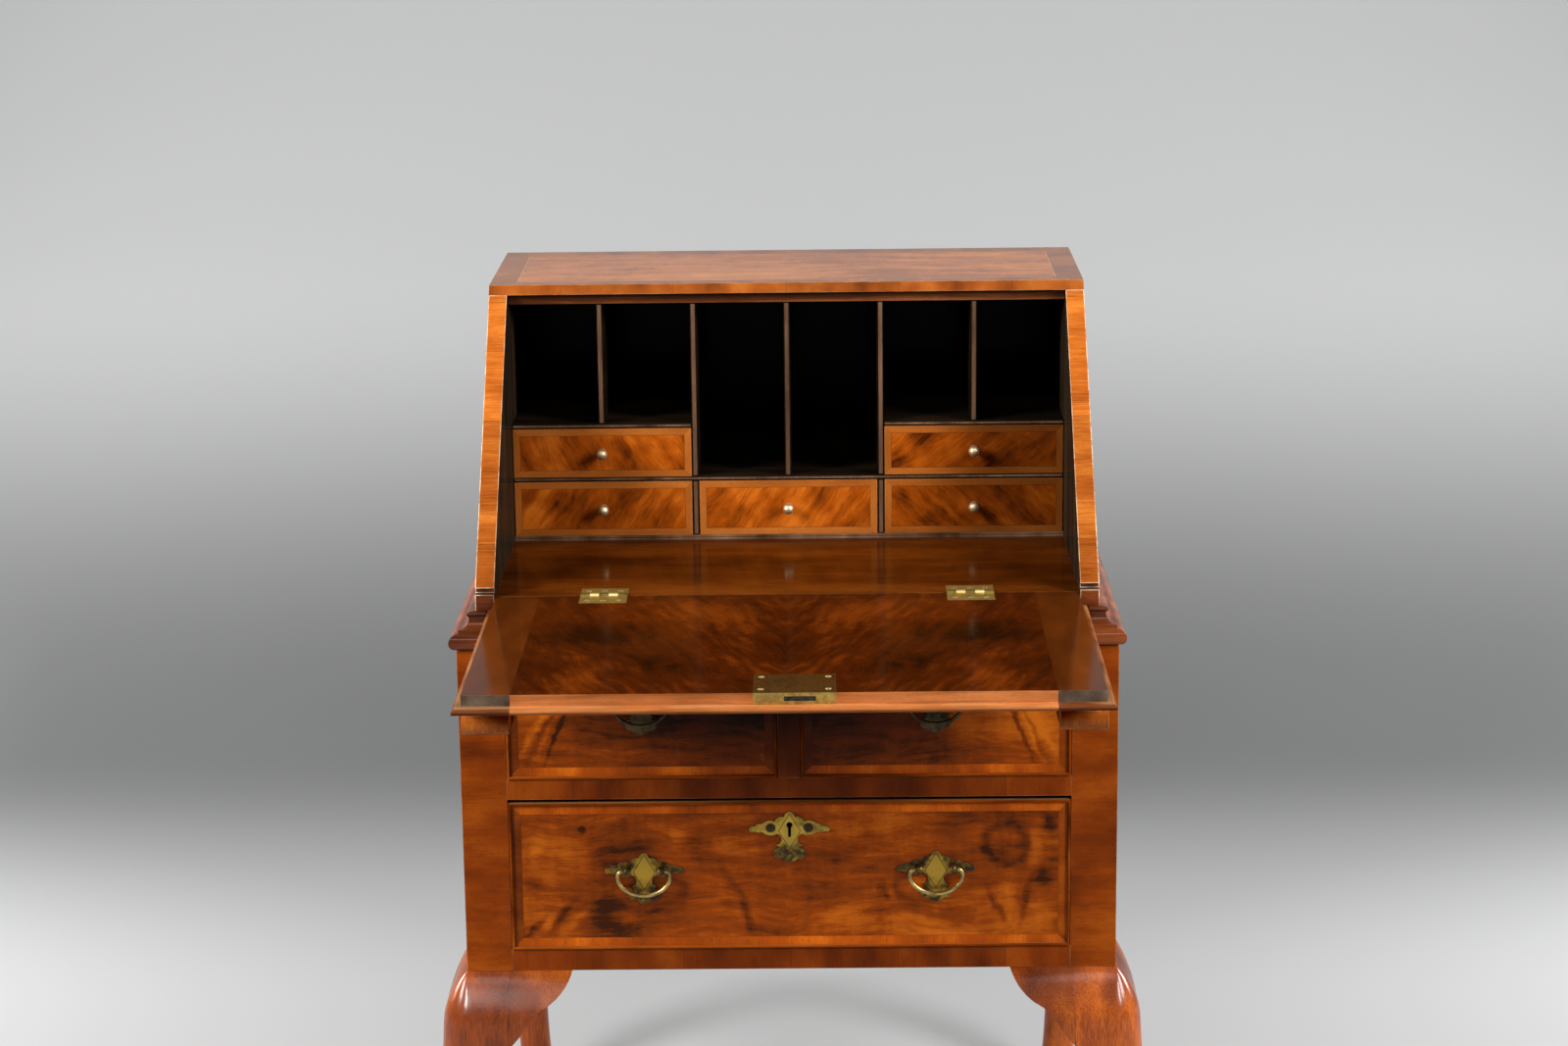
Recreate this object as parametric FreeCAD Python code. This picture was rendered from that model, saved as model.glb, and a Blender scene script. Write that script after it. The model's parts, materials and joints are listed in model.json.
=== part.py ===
import FreeCAD, Part
import math
import os

from FreeCAD import Vector

# A slant-front writing desk on cabriole legs, its fall open and resting on two supports pulled out for it.
# Millimetres, +Z up, the front faces -Y. The origin is on the floor, at the middle of the open desk.

# Driving dimensions
desk_width = 674.0
desk_depth = 500.0
desk_height = 298.0
slope_angle = 47.8
leg_height = 335.0
case_height = 366.0
case_step = 20.0
waist_height = 35.0
knee_reach = 33.0

# Boards
side_thickness = 21.0
top_thickness = 10.0
case_board = 20.0
back_thickness = 8.0
shelf_thickness = 5.0
partition_thickness = 7.0
dust_thickness = 12.0

# Clearances and cuts
overrun = 5.0
slide_gap = 0.3
side_gap = 0.8
seat_gap = 0.2
glue_gap = 0.2
drawer_gap = 0.8
drawer_head_gap = 1.6
long_drawer_head_gap = 4.0
pivot_gap = 0.06
same_place = 0.05

# Fall: the body lies between the desk's sides, the lip laps over their sloping edges
fall_rebate = 12.0
fall_lip = 6.0
lip_reach = 9.0
lip_round = 4.0
fall_head_gap = 1.5
hinge_line_gap = 0.3
lip_foot_gap = 1.0

# Foot of the desk's sloping sides: a square foot with a shadow notch over it
foot_rise = 4.5
notch_height = 6.3
notch_depth = 8.0

# Lower case front
stile_width = 50.0
top_rail_height = 12.0
middle_rail_height = 23.0
bottom_rail_height = 24.4
long_drawer_share = 0.56425
divider_width = 24.0
guide_height = 20.0

# Supports that pull out under the fall
loper_width = 47.0
loper_inset = 17.5
loper_travel = 307.0
loper_back_room = 30.0
loper_guide_width = 18.0
waist_rail_depth = 30.0

# Waist moulding, each measure from the desk's face and from the case's top
torus_radius = 9.0
torus_back = 18.5
torus_foot = 1.0
fillet_reach = 17.5
fillet_height = 4.0
cove_reach = 7.0
cove_depth = 3.2
bead_height = 5.0
bead_reach = 1.6

# Small drawers and pigeonholes
store_setback = 10.0
store_base = 4.5
base_reach = 5.0
base_groove_radius = 0.8
lower_shelf_rise = 68.7
upper_shelf_rise = 131.0
lock_rail_height = 12.5
lock_rail_depth = 20.0
pigeonhole_count = 6
inner_front = 9.0
inner_wall = 5.0
inner_bottom = 3.0
inner_drop = 6.0

# Case drawers
drawer_front_thickness = 20.0
drawer_wall = 9.0
drawer_bottom = 6.0
drawer_bottom_rise = 5.0
drawer_wall_drop = 8.0
drawer_back_room = 20.0
bead_width = 3.0
bead_proud = 2.5
bead_set = 4.0
bead_round_share = 0.42

# Brass handles
plate_width = 86.0
plate_height = 57.5
plate_thickness = 1.6
post_spacing = 36.5
post_radius = 3.4
post_head = 4.6
post_reach = 9.0
bail_radius = 2.2
bail_pin_radius = 1.7
bail_shoulder_gap = 0.2
bail_bend = 5.75
bail_drop = 30.0
handle_share = 0.26
long_handle_rise = 6.9
upper_handle_drop = 42.5

# Outline of the brass plates, right half from the top: its corners, and the point that each arc between
# them passes, as shares of the plate's half width and of its height, from the line between the posts
plate_corner_shares = (
    (0, 0.31),
    (0.127, 0.212),
    (0.366, 0.112),
    (0.678, 0.068),
    (0.878, 0.012),
    (0.883, -0.076),
    (0.673, -0.088),
    (0.317, -0.126),
    (0.341, -0.35),
    (0.244, -0.41),
    (0.207, -0.62),
    (0, -0.70),
)
plate_arc_shares = (
    (0.088, 0.28),
    (0.245, 0.208),
    (0.524, 0.136),
    (0.793, 0.064),
    (1.0, -0.028),
    (0.78, -0.098),
    (0.524, -0.152),
    (0.2, -0.21),
    (0.288, -0.374),
    (0.39, -0.52),
    (0.11, -0.676),
)

# Keyhole plate of the long drawer
escutcheon_width = 88.0
escutcheon_height = 57.0
escutcheon_drop = 15.6
keyhole_radius = 3.4
keyhole_slot = 3.2
keyhole_length = 17.0
keyhole_drop = 15.0
pin_radius = 1.7
pin_rise = 1.2
pin_spacing = 42.0

# Knobs of the small drawers
knob_radius = 6.5
knob_neck = 3.0
knob_foot = 5.0
knob_foot_height = 2.0
knob_reach = 11.0
knob_tenon = 6.0

# Butt hinges
hinge_inset = 117.2
hinge_length = 51.0
hinge_leaf_width = 31.0
leaf_thickness = 2.0
knuckle_radius = 3.0
hinge_pin_radius = 1.5
knuckle_count = 5
knuckle_gap = 0.3
screw_head = 3.2
screw_shank = 1.5
screw_length = 11.0
screw_head_depth = 1.7
screw_pitch = 17.0
screw_inset = 20.0

# Locks
lock_left = 30.0
lock_right = 51.0
lock_plate_depth = 65.0
lock_plate_thickness = 1.8
lock_case_inset = 4.0
lock_case_depth = 50.0
lock_case_thickness = 9.0
lock_edge_thickness = 2.2
lock_screw_inset = 7.4
lock_screw_near = 13.0
lock_screw_far = 56.0
bolt_left = 0.5
bolt_width = 30.5
bolt_thickness = 4.0
bolt_length = 22.0
bolt_travel = 10.0
bolt_depth = 4.0
fall_keyhole_inset = 33.0
drawer_lock_width = 62.0
drawer_lock_height = 44.0
drawer_lock_depth = 9.0
drawer_bolt_width = 26.0
drawer_bolt_height = 16.0
drawer_bolt_travel = 8.0
drawer_bolt_back = 3.0

# Cabriole legs, from the case's bottom corner down. Each station has its share of the leg's height, its
# shares of the knee's reach outward and of the inset inward, and the rounding of its outer corner and of
# the others, as shares of half the leg's width there. The first of them are the knee, which brackets follow.
leg_inset = 46.0
station_shares = (
    (0.000, 0.02, 1.00, 0.12, 0.012),
    (0.030, 0.29, 1.00, 0.36, 0.012),
    (0.066, 0.52, 1.00, 0.58, 0.012),
    (0.125, 0.78, 1.00, 0.76, 0.012),
    (0.190, 0.87, 1.00, 0.84, 0.012),
    (0.253, 0.91, 0.985, 0.88, 0.10),
    (0.320, 0.965, 0.90, 0.90, 0.40),
    (0.385, 0.99, 0.85, 0.92, 0.60),
    (0.460, 0.92, 0.84, 0.93, 0.72),
    (0.560, 0.63, 0.87, 0.93, 0.82),
    (0.672, 0.22, 0.92, 0.94, 0.90),
    (0.780, -0.10, 0.96, 0.94, 0.94),
    (0.870, -0.24, 1.01, 0.96, 0.96),
    (0.920, -0.12, 1.06, 0.96, 0.96),
    (0.955, 0.22, 1.16, 0.96, 0.96),
)
knee_stations = 6
foot_radius = 35.0
foot_shoulder_share = 0.9
pad_radius = 28.0
pad_height = 5.0
foot_height = 14.0
bracket_length = 116.0
bracket_drop = 80.0
bracket_depth = 34.0
bracket_lobe_shares = ((1.0, 0.0), (0.89, 0.27), (0.728, 0.45))
bracket_sweep_shares = (
    (0.728, 0.45),
    (0.61, 0.5875),
    (0.55, 0.7125),
    (0.505, 0.825),
    (0.455, 0.91),
    (0.405, 1.0),
)

# Derived levels and planes
slope_sin = math.sin(math.radians(slope_angle))
slope_cos = math.cos(math.radians(slope_angle))
bed_thickness = fall_rebate + fall_lip
z_case = leg_height
z_waist = z_case + case_height
z_desk = z_waist + waist_height
z_bed = z_desk + bed_thickness
z_top = z_bed + desk_height
z_under_top = z_top - top_thickness
slope_offset = fall_rebate - seat_gap
foot_reach = slope_offset * slope_sin
fall_length = (desk_height - top_thickness - fall_head_gap - fall_rebate * slope_cos) / slope_sin
y_hinge = (fall_length + lip_reach + foot_reach - desk_depth - knee_reach) / 2
desk_front = y_hinge - foot_reach
desk_back = desk_front + desk_depth
case_front = desk_front - case_step
half_desk = desk_width / 2
half_room = half_desk - side_thickness
half_case = half_desk + case_step
half_opening = half_case - stile_width
half_fall = half_room - side_gap
half_divider = divider_width / 2
hinge_middle = half_fall - hinge_inset
hinge_xs = (-hinge_middle, hinge_middle)
y_tip = y_hinge - fall_length
fall_keyhole_shift = bolt_left + bolt_width / 2
loper_outer = half_desk - loper_inset
loper_inner = loper_outer - loper_width
loper_length = desk_depth - waist_rail_depth - loper_back_room
z_long_floor = z_case + bottom_rail_height
drawer_room = case_height - top_rail_height - middle_rail_height - bottom_rail_height
long_drawer_opening = drawer_room * long_drawer_share
z_middle_rail = z_long_floor + long_drawer_opening
z_upper_floor = z_middle_rail + middle_rail_height
z_upper_head = z_waist - top_rail_height
inner_back = desk_back - back_thickness
case_inner_front = case_front + case_board
half_case_room = half_case - case_board
slope_run = slope_cos / slope_sin
store_front = desk_front + (z_under_top - z_bed - slope_offset * slope_cos) * slope_run + store_setback
store_head = desk_height - top_thickness - lock_rail_height
lower_shelf_top = lower_shelf_rise + shelf_thickness
upper_shelf_top = upper_shelf_rise + shelf_thickness
upper_handle_x = (half_opening + half_divider) / 2
upper_handle_z = z_upper_head - upper_handle_drop
long_handle_x = handle_share * 2 * half_opening
long_handle_z = z_long_floor + long_drawer_opening / 2 + long_handle_rise
keyhole_z = z_middle_rail - escutcheon_drop - keyhole_drop
pivot_y = case_front - plate_thickness - post_reach
x_axis = Vector(1, 0, 0)
y_axis = Vector(0, 1, 0)
z_axis = Vector(0, 0, 1)
origin = Vector(0, 0, 0)


# Plain solids
def box(x0, x1, y0, y1, z0, z1):
    return Part.makeBox(x1 - x0, y1 - y0, z1 - z0, Vector(x0, y0, z0))


def rod(radius, start, direction, length):
    return Part.makeCylinder(radius, length, start, direction)


def mirrored(shape):
    return shape.mirror(origin, x_axis)


def both(shape):
    return [shape, mirrored(shape)]


def prism(points, sweep):
    return Part.Face(Part.makePolygon(points + points[:1])).extrude(sweep)


def side_profile(pairs, x0, x1):
    return prism([Vector(x0, y, z) for y, z in pairs], Vector(x1 - x0, 0, 0))


def slope_y(z):
    return desk_front + (z - z_bed - slope_offset * slope_cos) * slope_run


# Lower case
def case_sides():
    right = box(half_case_room, half_case, case_inner_front, desk_back, z_case, z_waist)
    return mirrored(right), right


def case_front_frame():
    stile = box(half_opening, half_case, case_front, case_inner_front, z_case, z_waist)
    rails = [
        box(-half_opening, half_opening, case_front, case_inner_front, low, high)
        for low, high in ((z_case, z_long_floor), (z_middle_rail, z_upper_floor), (z_upper_head, z_waist))
    ]
    rails[1] = rails[1].cut(drawer_bolt(slide_gap, drawer_bolt_travel))
    divider = box(-half_divider, half_divider, case_front, case_inner_front, z_upper_floor, z_upper_head)
    return both(stile) + rails + [divider]


def case_shelf(z_high):
    return box(-half_case_room, half_case_room, case_inner_front, inner_back, z_high - dust_thickness, z_high)


def case_back():
    return box(-half_case_room, half_case_room, inner_back, desk_back, z_case, z_waist)


def drawer_guides():
    y0, y1 = case_inner_front, inner_back
    solids = []
    for floor in (z_long_floor, z_upper_floor):
        solids += both(box(half_opening, half_case_room, y0, y1, floor, floor + guide_height))
    return solids + [box(-half_divider, half_divider, y0, y1, z_upper_floor, z_upper_floor + guide_height)]


# Waist: the frame that houses the two supports, and the moulding round it
def waist_frame():
    outer = box(loper_outer + slide_gap, half_desk, desk_front, desk_back, z_waist, z_desk)
    inner_edge = loper_inner - slide_gap
    y0, y1 = desk_front + waist_rail_depth, desk_back - waist_rail_depth
    inner = box(inner_edge - loper_guide_width, inner_edge, y0, y1, z_waist, z_desk)
    front = box(-inner_edge, inner_edge, desk_front, y0, z_waist, z_desk)
    half = loper_outer + slide_gap
    back = box(-half, half, y1, desk_back, z_waist, z_desk)
    return both(outer) + both(inner) + [front, back]


def moulding_profile(place, with_bead):
    torus_top = torus_foot + 2 * torus_radius
    torus_middle = torus_foot + torus_radius
    cove_foot = torus_top + fillet_height
    cove_middle = (fillet_reach + cove_reach) / 2
    cove_rise = (cove_foot + waist_height) / 2
    edges = [
        Part.LineSegment(place(0, 0), place(torus_back, 0)),
        Part.LineSegment(place(torus_back, 0), place(torus_back, torus_foot)),
        Part.Arc(
            place(torus_back, torus_foot),
            place(torus_back + torus_radius, torus_middle),
            place(torus_back, torus_top),
        ),
        Part.LineSegment(place(torus_back, torus_top), place(fillet_reach, torus_top)),
        Part.LineSegment(place(fillet_reach, torus_top), place(fillet_reach, cove_foot)),
        Part.Arc(
            place(fillet_reach, cove_foot),
            place(cove_middle - cove_depth, cove_rise - cove_depth),
            place(cove_reach, waist_height),
        ),
    ]
    top = waist_height
    if with_bead:
        top = waist_height + bead_height
        edges += [
            Part.Arc(
                place(cove_reach, waist_height),
                place(cove_reach + bead_reach, waist_height + bead_height / 2),
                place(cove_reach, top),
            ),
        ]
    edges += [
        Part.LineSegment(place(cove_reach, top), place(0, top)),
        Part.LineSegment(place(0, top), place(0, 0)),
    ]
    return Part.Face(Part.Wire([edge.toShape() for edge in edges]))


def front_moulding(x0, x1, y_back, with_bead):
    face = moulding_profile(lambda out, up: Vector(x0, y_back - out, z_waist + up), with_bead)
    return face.extrude(Vector(x1 - x0, 0, 0))


def side_moulding(y_start):
    face = moulding_profile(lambda out, up: Vector(half_desk + out, y_start, z_waist + up), True)
    return face.extrude(Vector(0, desk_back - y_start, 0))


def mitre_wedge(toward_front):
    reach = case_step + torus_radius + overrun
    corner = Vector(half_desk, desk_front, z_waist - overrun)
    tip = corner + Vector(reach, -reach, 0)
    third = corner + (Vector(0, -reach, 0) if toward_front else Vector(reach, 0, 0))
    return prism([corner, tip, third], Vector(0, 0, waist_height + bead_height + 2 * overrun))


def corner_moulding():
    reach = case_step + torus_radius
    side = side_moulding(desk_front - reach).cut(mitre_wedge(True))
    front = front_moulding(loper_outer + slide_gap, half_desk + reach, desk_front, True)
    front = front.cut(mitre_wedge(False))
    bead_end = half_fall + lip_reach + side_gap
    room = box(0, bead_end, desk_front - reach, desk_front, z_desk, z_desk + bead_height + overrun)
    return [side, front.cut(room)]


def loper():
    y0 = desk_front - loper_travel
    bar = box(loper_inner, loper_outer, y0, y0 + loper_length, z_waist + slide_gap, z_desk)
    return [bar, front_moulding(loper_inner, loper_outer, y0, False)]


# Desk
def desk_side():
    notch_low = z_bed + foot_rise
    notch_high = notch_low + notch_height
    profile = [
        (desk_front, z_desk),
        (desk_front, notch_low),
        (desk_front + notch_depth, notch_low),
        (desk_front + notch_depth, notch_high),
        (slope_y(notch_high), notch_high),
        (slope_y(z_under_top), z_under_top),
        (desk_back, z_under_top),
        (desk_back, z_desk),
    ]
    return side_profile(profile, half_room, half_desk)


def desk_top():
    profile = [
        (slope_y(z_under_top), z_under_top),
        (slope_y(z_top), z_top),
        (desk_back, z_top),
        (desk_back, z_under_top),
    ]
    return side_profile(profile, -half_desk, half_desk).cut(closed_fall_bolt())


def writing_bed():
    board = box(-half_room, half_room, y_hinge + hinge_line_gap, inner_back, z_desk, z_bed)
    return board.cut(Part.makeCompound(hinge_recesses(1)))


def desk_back_board():
    return box(-half_room, half_room, inner_back, desk_back, z_desk, z_under_top)


def lock_rail():
    y1 = store_front + lock_rail_depth
    rail = box(-half_room, half_room, store_front, y1, z_under_top - lock_rail_height, z_under_top)
    return rail.cut(closed_fall_bolt())


# Pigeonholes over two rows of small drawers
def store_base_board():
    z1 = z_bed + store_base
    y0 = store_front - base_reach
    board = box(-half_room, half_room, y0, inner_back, z_bed, z1)
    groove_start = Vector(-half_room, y0, z_bed + store_base / 2)
    return board.cut(rod(base_groove_radius, groove_start, x_axis, 2 * half_room))


def partition_x(number):
    return (number - pigeonhole_count / 2) * (2 * half_room + partition_thickness) / pigeonhole_count


def upright(number, low, high):
    x, half = partition_x(number), partition_thickness / 2
    return box(x - half, x + half, store_front, inner_back, z_bed + low, z_bed + high)


def pigeonhole_partitions():
    # From the left: short, tall, tall, tall, short, then the two that part the lower drawers
    spans = (
        (1, upper_shelf_top, store_head),
        (2, lower_shelf_top, store_head),
        (3, lower_shelf_top, store_head),
        (4, lower_shelf_top, store_head),
        (5, upper_shelf_top, store_head),
        (2, store_base, lower_shelf_rise),
        (4, store_base, lower_shelf_rise),
    )
    return [upright(*span) for span in spans]


def pigeonhole_shelves():
    def shelf(x0, rise):
        z0 = z_bed + rise
        return box(x0, half_room, store_front, inner_back, z0, z0 + shelf_thickness)

    upper = shelf(partition_x(4) + partition_thickness / 2, upper_shelf_rise)
    return [shelf(-half_room, lower_shelf_rise)] + both(upper)


def inner_drawer(x0, x1, low, high):
    z0, z1 = z_bed + low, z_bed + high - drawer_gap
    x0, x1 = x0 + drawer_gap, x1 - drawer_gap
    y0, y1 = store_front, inner_back - drawer_back_room
    y_in = y0 + inner_front
    wall_top = z1 - inner_drop
    return [
        box(x0, x1, y0, y_in, z0, z1),
        box(x0, x0 + inner_wall, y_in, y1, z0, wall_top),
        box(x1 - inner_wall, x1, y_in, y1, z0, wall_top),
        box(x0 + inner_wall, x1 - inner_wall, y1 - inner_wall, y1, z0, wall_top),
        box(x0 + inner_wall, x1 - inner_wall, y_in, y1 - inner_wall, z0, z0 + inner_bottom),
    ]


def inner_drawer_places():
    half = partition_thickness / 2
    left, right = partition_x(2), partition_x(4)
    return {
        "inner_upper_left": (-half_room, left - half, lower_shelf_top, upper_shelf_rise),
        "inner_upper_right": (right + half, half_room, lower_shelf_top, upper_shelf_rise),
        "inner_lower_left": (-half_room, left - half, store_base, lower_shelf_rise),
        "inner_lower_middle": (left + half, right - half, store_base, lower_shelf_rise),
        "inner_lower_right": (right + half, half_room, store_base, lower_shelf_rise),
    }


def knob(x, z):
    tip = knob_reach
    profile = [
        (0, -knob_tenon),
        (knob_neck, -knob_tenon),
        (knob_neck, 0),
        (knob_foot, 0),
        (knob_foot, knob_foot_height),
        (knob_neck, knob_foot_height),
        (knob_neck, tip - knob_radius / 2),
        (0, tip - knob_radius / 2),
    ]
    points = [Vector(radius, -out, 0) for radius, out in profile]
    shank = Part.Face(Part.makePolygon(points + points[:1])).revolve(origin, y_axis, 360)
    ball = Part.makeSphere(knob_radius, Vector(0, -tip, 0))
    return shank.fuse(ball).removeSplitter().translated(Vector(x, store_front, z))


# Fall, its hinges and its lock
def fall_panel():
    body = box(-half_fall, half_fall, y_tip, y_hinge - hinge_line_gap, z_desk, z_bed)
    reach = half_fall + lip_reach
    lip = box(-reach, reach, y_tip - lip_reach, desk_front - lip_foot_gap, z_desk, z_desk + fall_lip)
    rounded = [edge for edge in lip.Edges if is_lip_edge(edge)]
    panel = body.fuse(lip.makeFillet(lip_round, rounded)).removeSplitter()
    cuts = hinge_recesses(-1) + [fall_lock_block()] + lock_screws()
    return panel.cut(Part.makeCompound(cuts)).cut(fall_keyhole())


def is_lip_edge(edge):
    ends = [vertex.Point for vertex in edge.Vertexes]
    on_top = all(abs(p.z - z_desk - fall_lip) < same_place for p in ends)
    at_back = all(abs(p.y - desk_front + lip_foot_gap) < same_place for p in ends)
    return on_top and not at_back


def hinge_leaf_solid(side, x):
    # side is +1 for the leaf let into the bed, -1 for the leaf let into the fall, and their knuckles take turns
    half, spare = hinge_length / 2, knuckle_gap / 2
    step = hinge_length / knuckle_count
    near = knuckle_radius + slide_gap
    low = -leaf_thickness
    y0, y1 = sorted((side * near, side * hinge_leaf_width))
    leaf = box(-half, half, y0, y1, low, 0)
    for number in range(0 if side > 0 else 1, knuckle_count, 2):
        x0, x1 = number * step + spare - half, (number + 1) * step - spare - half
        tongue = box(x0, x1, min(0, side * near), max(0, side * near), low, 0)
        leaf = leaf.fuse(tongue).fuse(rod(knuckle_radius, Vector(x0, 0, 0), x_axis, x1 - x0))
    hole = hinge_pin_radius if side > 0 else hinge_pin_radius + pivot_gap
    leaf = leaf.removeSplitter().cut(rod(hole, Vector(-half, 0, 0), x_axis, hinge_length))
    leaf.translate(Vector(x, y_hinge, z_bed))
    return leaf.cut(Part.makeCompound([screw(sx, sy) for sx, sy in hinge_screw_places(side, x)]))


def hinge_recesses(side):
    tools = []
    room = knuckle_radius + slide_gap
    half = hinge_length / 2
    for x in hinge_xs:
        y0, y1 = sorted((y_hinge, y_hinge + side * hinge_leaf_width))
        tools.append(box(x - half, x + half, y0, y1, z_bed - leaf_thickness, z_bed + overrun))
        start = Vector(x - half - slide_gap, y_hinge, z_bed)
        tools.append(rod(room, start, x_axis, hinge_length + 2 * slide_gap))
        tools += [screw(sx, sy) for sx, sy in hinge_screw_places(side, x)]
    return tools


def hinge_pins():
    return [
        rod(hinge_pin_radius, Vector(x - hinge_length / 2, y_hinge, z_bed), x_axis, hinge_length)
        for x in hinge_xs
    ]


def hinge_screw_places(side, x):
    y = y_hinge + side * screw_inset
    return [(x + step * screw_pitch, y) for step in (-1, 0, 1)]


def hinge_screws(side):
    return [screw(x, y) for middle in hinge_xs for x, y in hinge_screw_places(side, middle)]


def screw(x, y):
    seat = Vector(x, y, z_bed - screw_head_depth)
    head = Part.makeCone(screw_shank, screw_head, screw_head_depth, seat, z_axis)
    shank = rod(screw_shank, Vector(x, y, z_bed - screw_length), z_axis, screw_length - screw_head_depth)
    return head.fuse(shank).removeSplitter()


def fall_lock_block():
    plate = box(-lock_left, lock_right, y_tip, y_tip + lock_plate_depth, z_bed - lock_plate_thickness, z_bed)
    x0, x1 = lock_case_inset - lock_left, lock_right - lock_case_inset
    case = box(x0, x1, y_tip, y_tip + lock_case_depth, z_bed - lock_case_thickness, z_bed)
    edge = box(-lock_left, lock_right, y_tip, y_tip + lock_edge_thickness, z_bed - fall_rebate, z_bed)
    return plate.fuse(case).fuse(edge).removeSplitter()


def lock_screw_places():
    return [
        (x, y_tip + depth)
        for x in (lock_screw_inset - lock_left, lock_right - lock_screw_inset)
        for depth in (lock_screw_near, lock_screw_far)
    ]


def lock_screws():
    return [screw(x, y) for x, y in lock_screw_places()]


def fall_lock():
    rooms = lock_screws() + [fall_bolt(slide_gap, overrun), fall_keyhole()]
    return fall_lock_block().cut(Part.makeCompound(rooms))


def fall_bolt(gap, travel):
    z1 = z_bed - bolt_depth
    x0, x1 = bolt_left - gap, bolt_left + bolt_width + gap
    return box(x0, x1, y_tip - travel, y_tip + bolt_length + gap, z1 - bolt_thickness - gap, z1 + gap)


def closed_fall_bolt():
    bolt = fall_bolt(slide_gap, bolt_travel + slide_gap)
    bolt.rotate(Vector(0, y_hinge, z_bed), x_axis, slope_angle - 180)
    return bolt


def fall_keyhole():
    y = y_tip + fall_keyhole_inset
    z1 = z_bed - lock_plate_thickness
    hole = rod(keyhole_radius, Vector(fall_keyhole_shift, y, z_desk), z_axis, z1 - z_desk)
    x0 = fall_keyhole_shift - keyhole_slot / 2
    slot = box(x0, x0 + keyhole_slot, y, y + keyhole_length - keyhole_radius, z_desk, z1)
    return hole.fuse(slot)


# Case drawers
class Drawer:
    """The walls and front of one case drawer, between two uprights and two levels."""

    def __init__(self, x0, x1, low, high, head_gap):
        self.x0, self.x1 = x0 + drawer_gap, x1 - drawer_gap
        self.low, self.z0, self.z1 = low, low + drawer_gap, high - head_gap
        self.y_in = case_front + drawer_front_thickness
        self.y_end = inner_back - drawer_back_room

    def bead(self):
        y0, y1 = case_front - bead_proud, case_front + bead_set
        outer = box(self.x0, self.x1, y0, y1, self.z0, self.z1)
        w = bead_width
        hole = box(self.x0 + w, self.x1 - w, y0, y1, self.z0 + w, self.z1 - w)
        return outer.cut(hole)

    def rounded_bead(self):
        ring = self.bead()
        y = case_front - bead_proud
        front = [edge for edge in ring.Edges if all(abs(v.Y - y) < same_place for v in edge.Vertexes)]
        return ring.makeFillet(bead_width * bead_round_share, front)

    def front(self, cuts):
        board = box(self.x0, self.x1, case_front, self.y_in, self.z0, self.z1).cut(self.bead())
        return [board.cut(Part.makeCompound(cuts)), self.rounded_bead()]

    def walls(self):
        top = self.z1 - drawer_wall_drop
        xa, xb = self.x0 + drawer_wall, self.x1 - drawer_wall
        floor = self.low + drawer_bottom_rise
        y_back = self.y_end - drawer_wall
        return [
            box(self.x0, xa, self.y_in, self.y_end, self.low, top),
            box(xb, self.x1, self.y_in, self.y_end, self.low, top),
            box(xa, xb, y_back, self.y_end, self.low, top),
            box(xa, xb, self.y_in, y_back, floor, floor + drawer_bottom),
        ]


upper_left = Drawer(-half_opening, -half_divider, z_upper_floor, z_upper_head, drawer_head_gap)
upper_right = Drawer(half_divider, half_opening, z_upper_floor, z_upper_head, drawer_head_gap)
long_drawer = Drawer(-half_opening, half_opening, z_long_floor, z_middle_rail, long_drawer_head_gap)
handle_places = {
    "upper_left": (-upper_handle_x, upper_handle_z),
    "upper_right": (upper_handle_x, upper_handle_z),
    "long_left": (-long_handle_x, long_handle_z),
    "long_right": (long_handle_x, long_handle_z),
}


def plate_face(width, height, x, z):
    def point(share, side):
        return Vector(x + side * share[0] * width / 2, case_front, z + share[1] * height)

    edges = []
    for side in (1, -1):
        for a, via, b in zip(plate_corner_shares, plate_arc_shares, plate_corner_shares[1:]):
            edges.append(Part.Arc(point(a, side), point(via, side), point(b, side)).toShape())
    return Part.Face(Part.Wire(Part.__sortEdges__(edges)))


def handle_plate(place):
    x, z = handle_places[place]
    plate = plate_face(plate_width, plate_height, x, z).extrude(Vector(0, -plate_thickness, 0))
    return plate.cut(Part.makeCompound(handle_bores(place)))


def post_xs(place):
    x = handle_places[place][0]
    return (x - post_spacing / 2, x + post_spacing / 2)


def handle_bores(place):
    z = handle_places[place][1]
    length = drawer_front_thickness + plate_thickness
    y = case_front - plate_thickness
    return [rod(post_radius, Vector(x, y, z), y_axis, length) for x in post_xs(place)]


def handle_posts(place):
    z = handle_places[place][1]
    seat = math.sqrt(post_head**2 - post_radius**2)
    foot_y = post_reach + plate_thickness + drawer_front_thickness
    profile = [
        Part.Arc(Vector(0, -post_head, 0), Vector(post_head, 0, 0), Vector(post_radius, seat, 0)),
        Part.LineSegment(Vector(post_radius, seat, 0), Vector(post_radius, foot_y, 0)),
        Part.LineSegment(Vector(post_radius, foot_y, 0), Vector(0, foot_y, 0)),
        Part.LineSegment(Vector(0, foot_y, 0), Vector(0, -post_head, 0)),
    ]
    face = Part.Face(Part.Wire([edge.toShape() for edge in profile]))
    hole = rod(bail_pin_radius + pivot_gap, Vector(-post_head, 0, 0), x_axis, 2 * post_head)
    post = face.revolve(origin, y_axis, 360).cut(hole)
    return [post.translated(Vector(x, pivot_y, z)) for x in post_xs(place)]


def handle(place):
    return [handle_plate(place)] + handle_posts(place)


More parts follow.
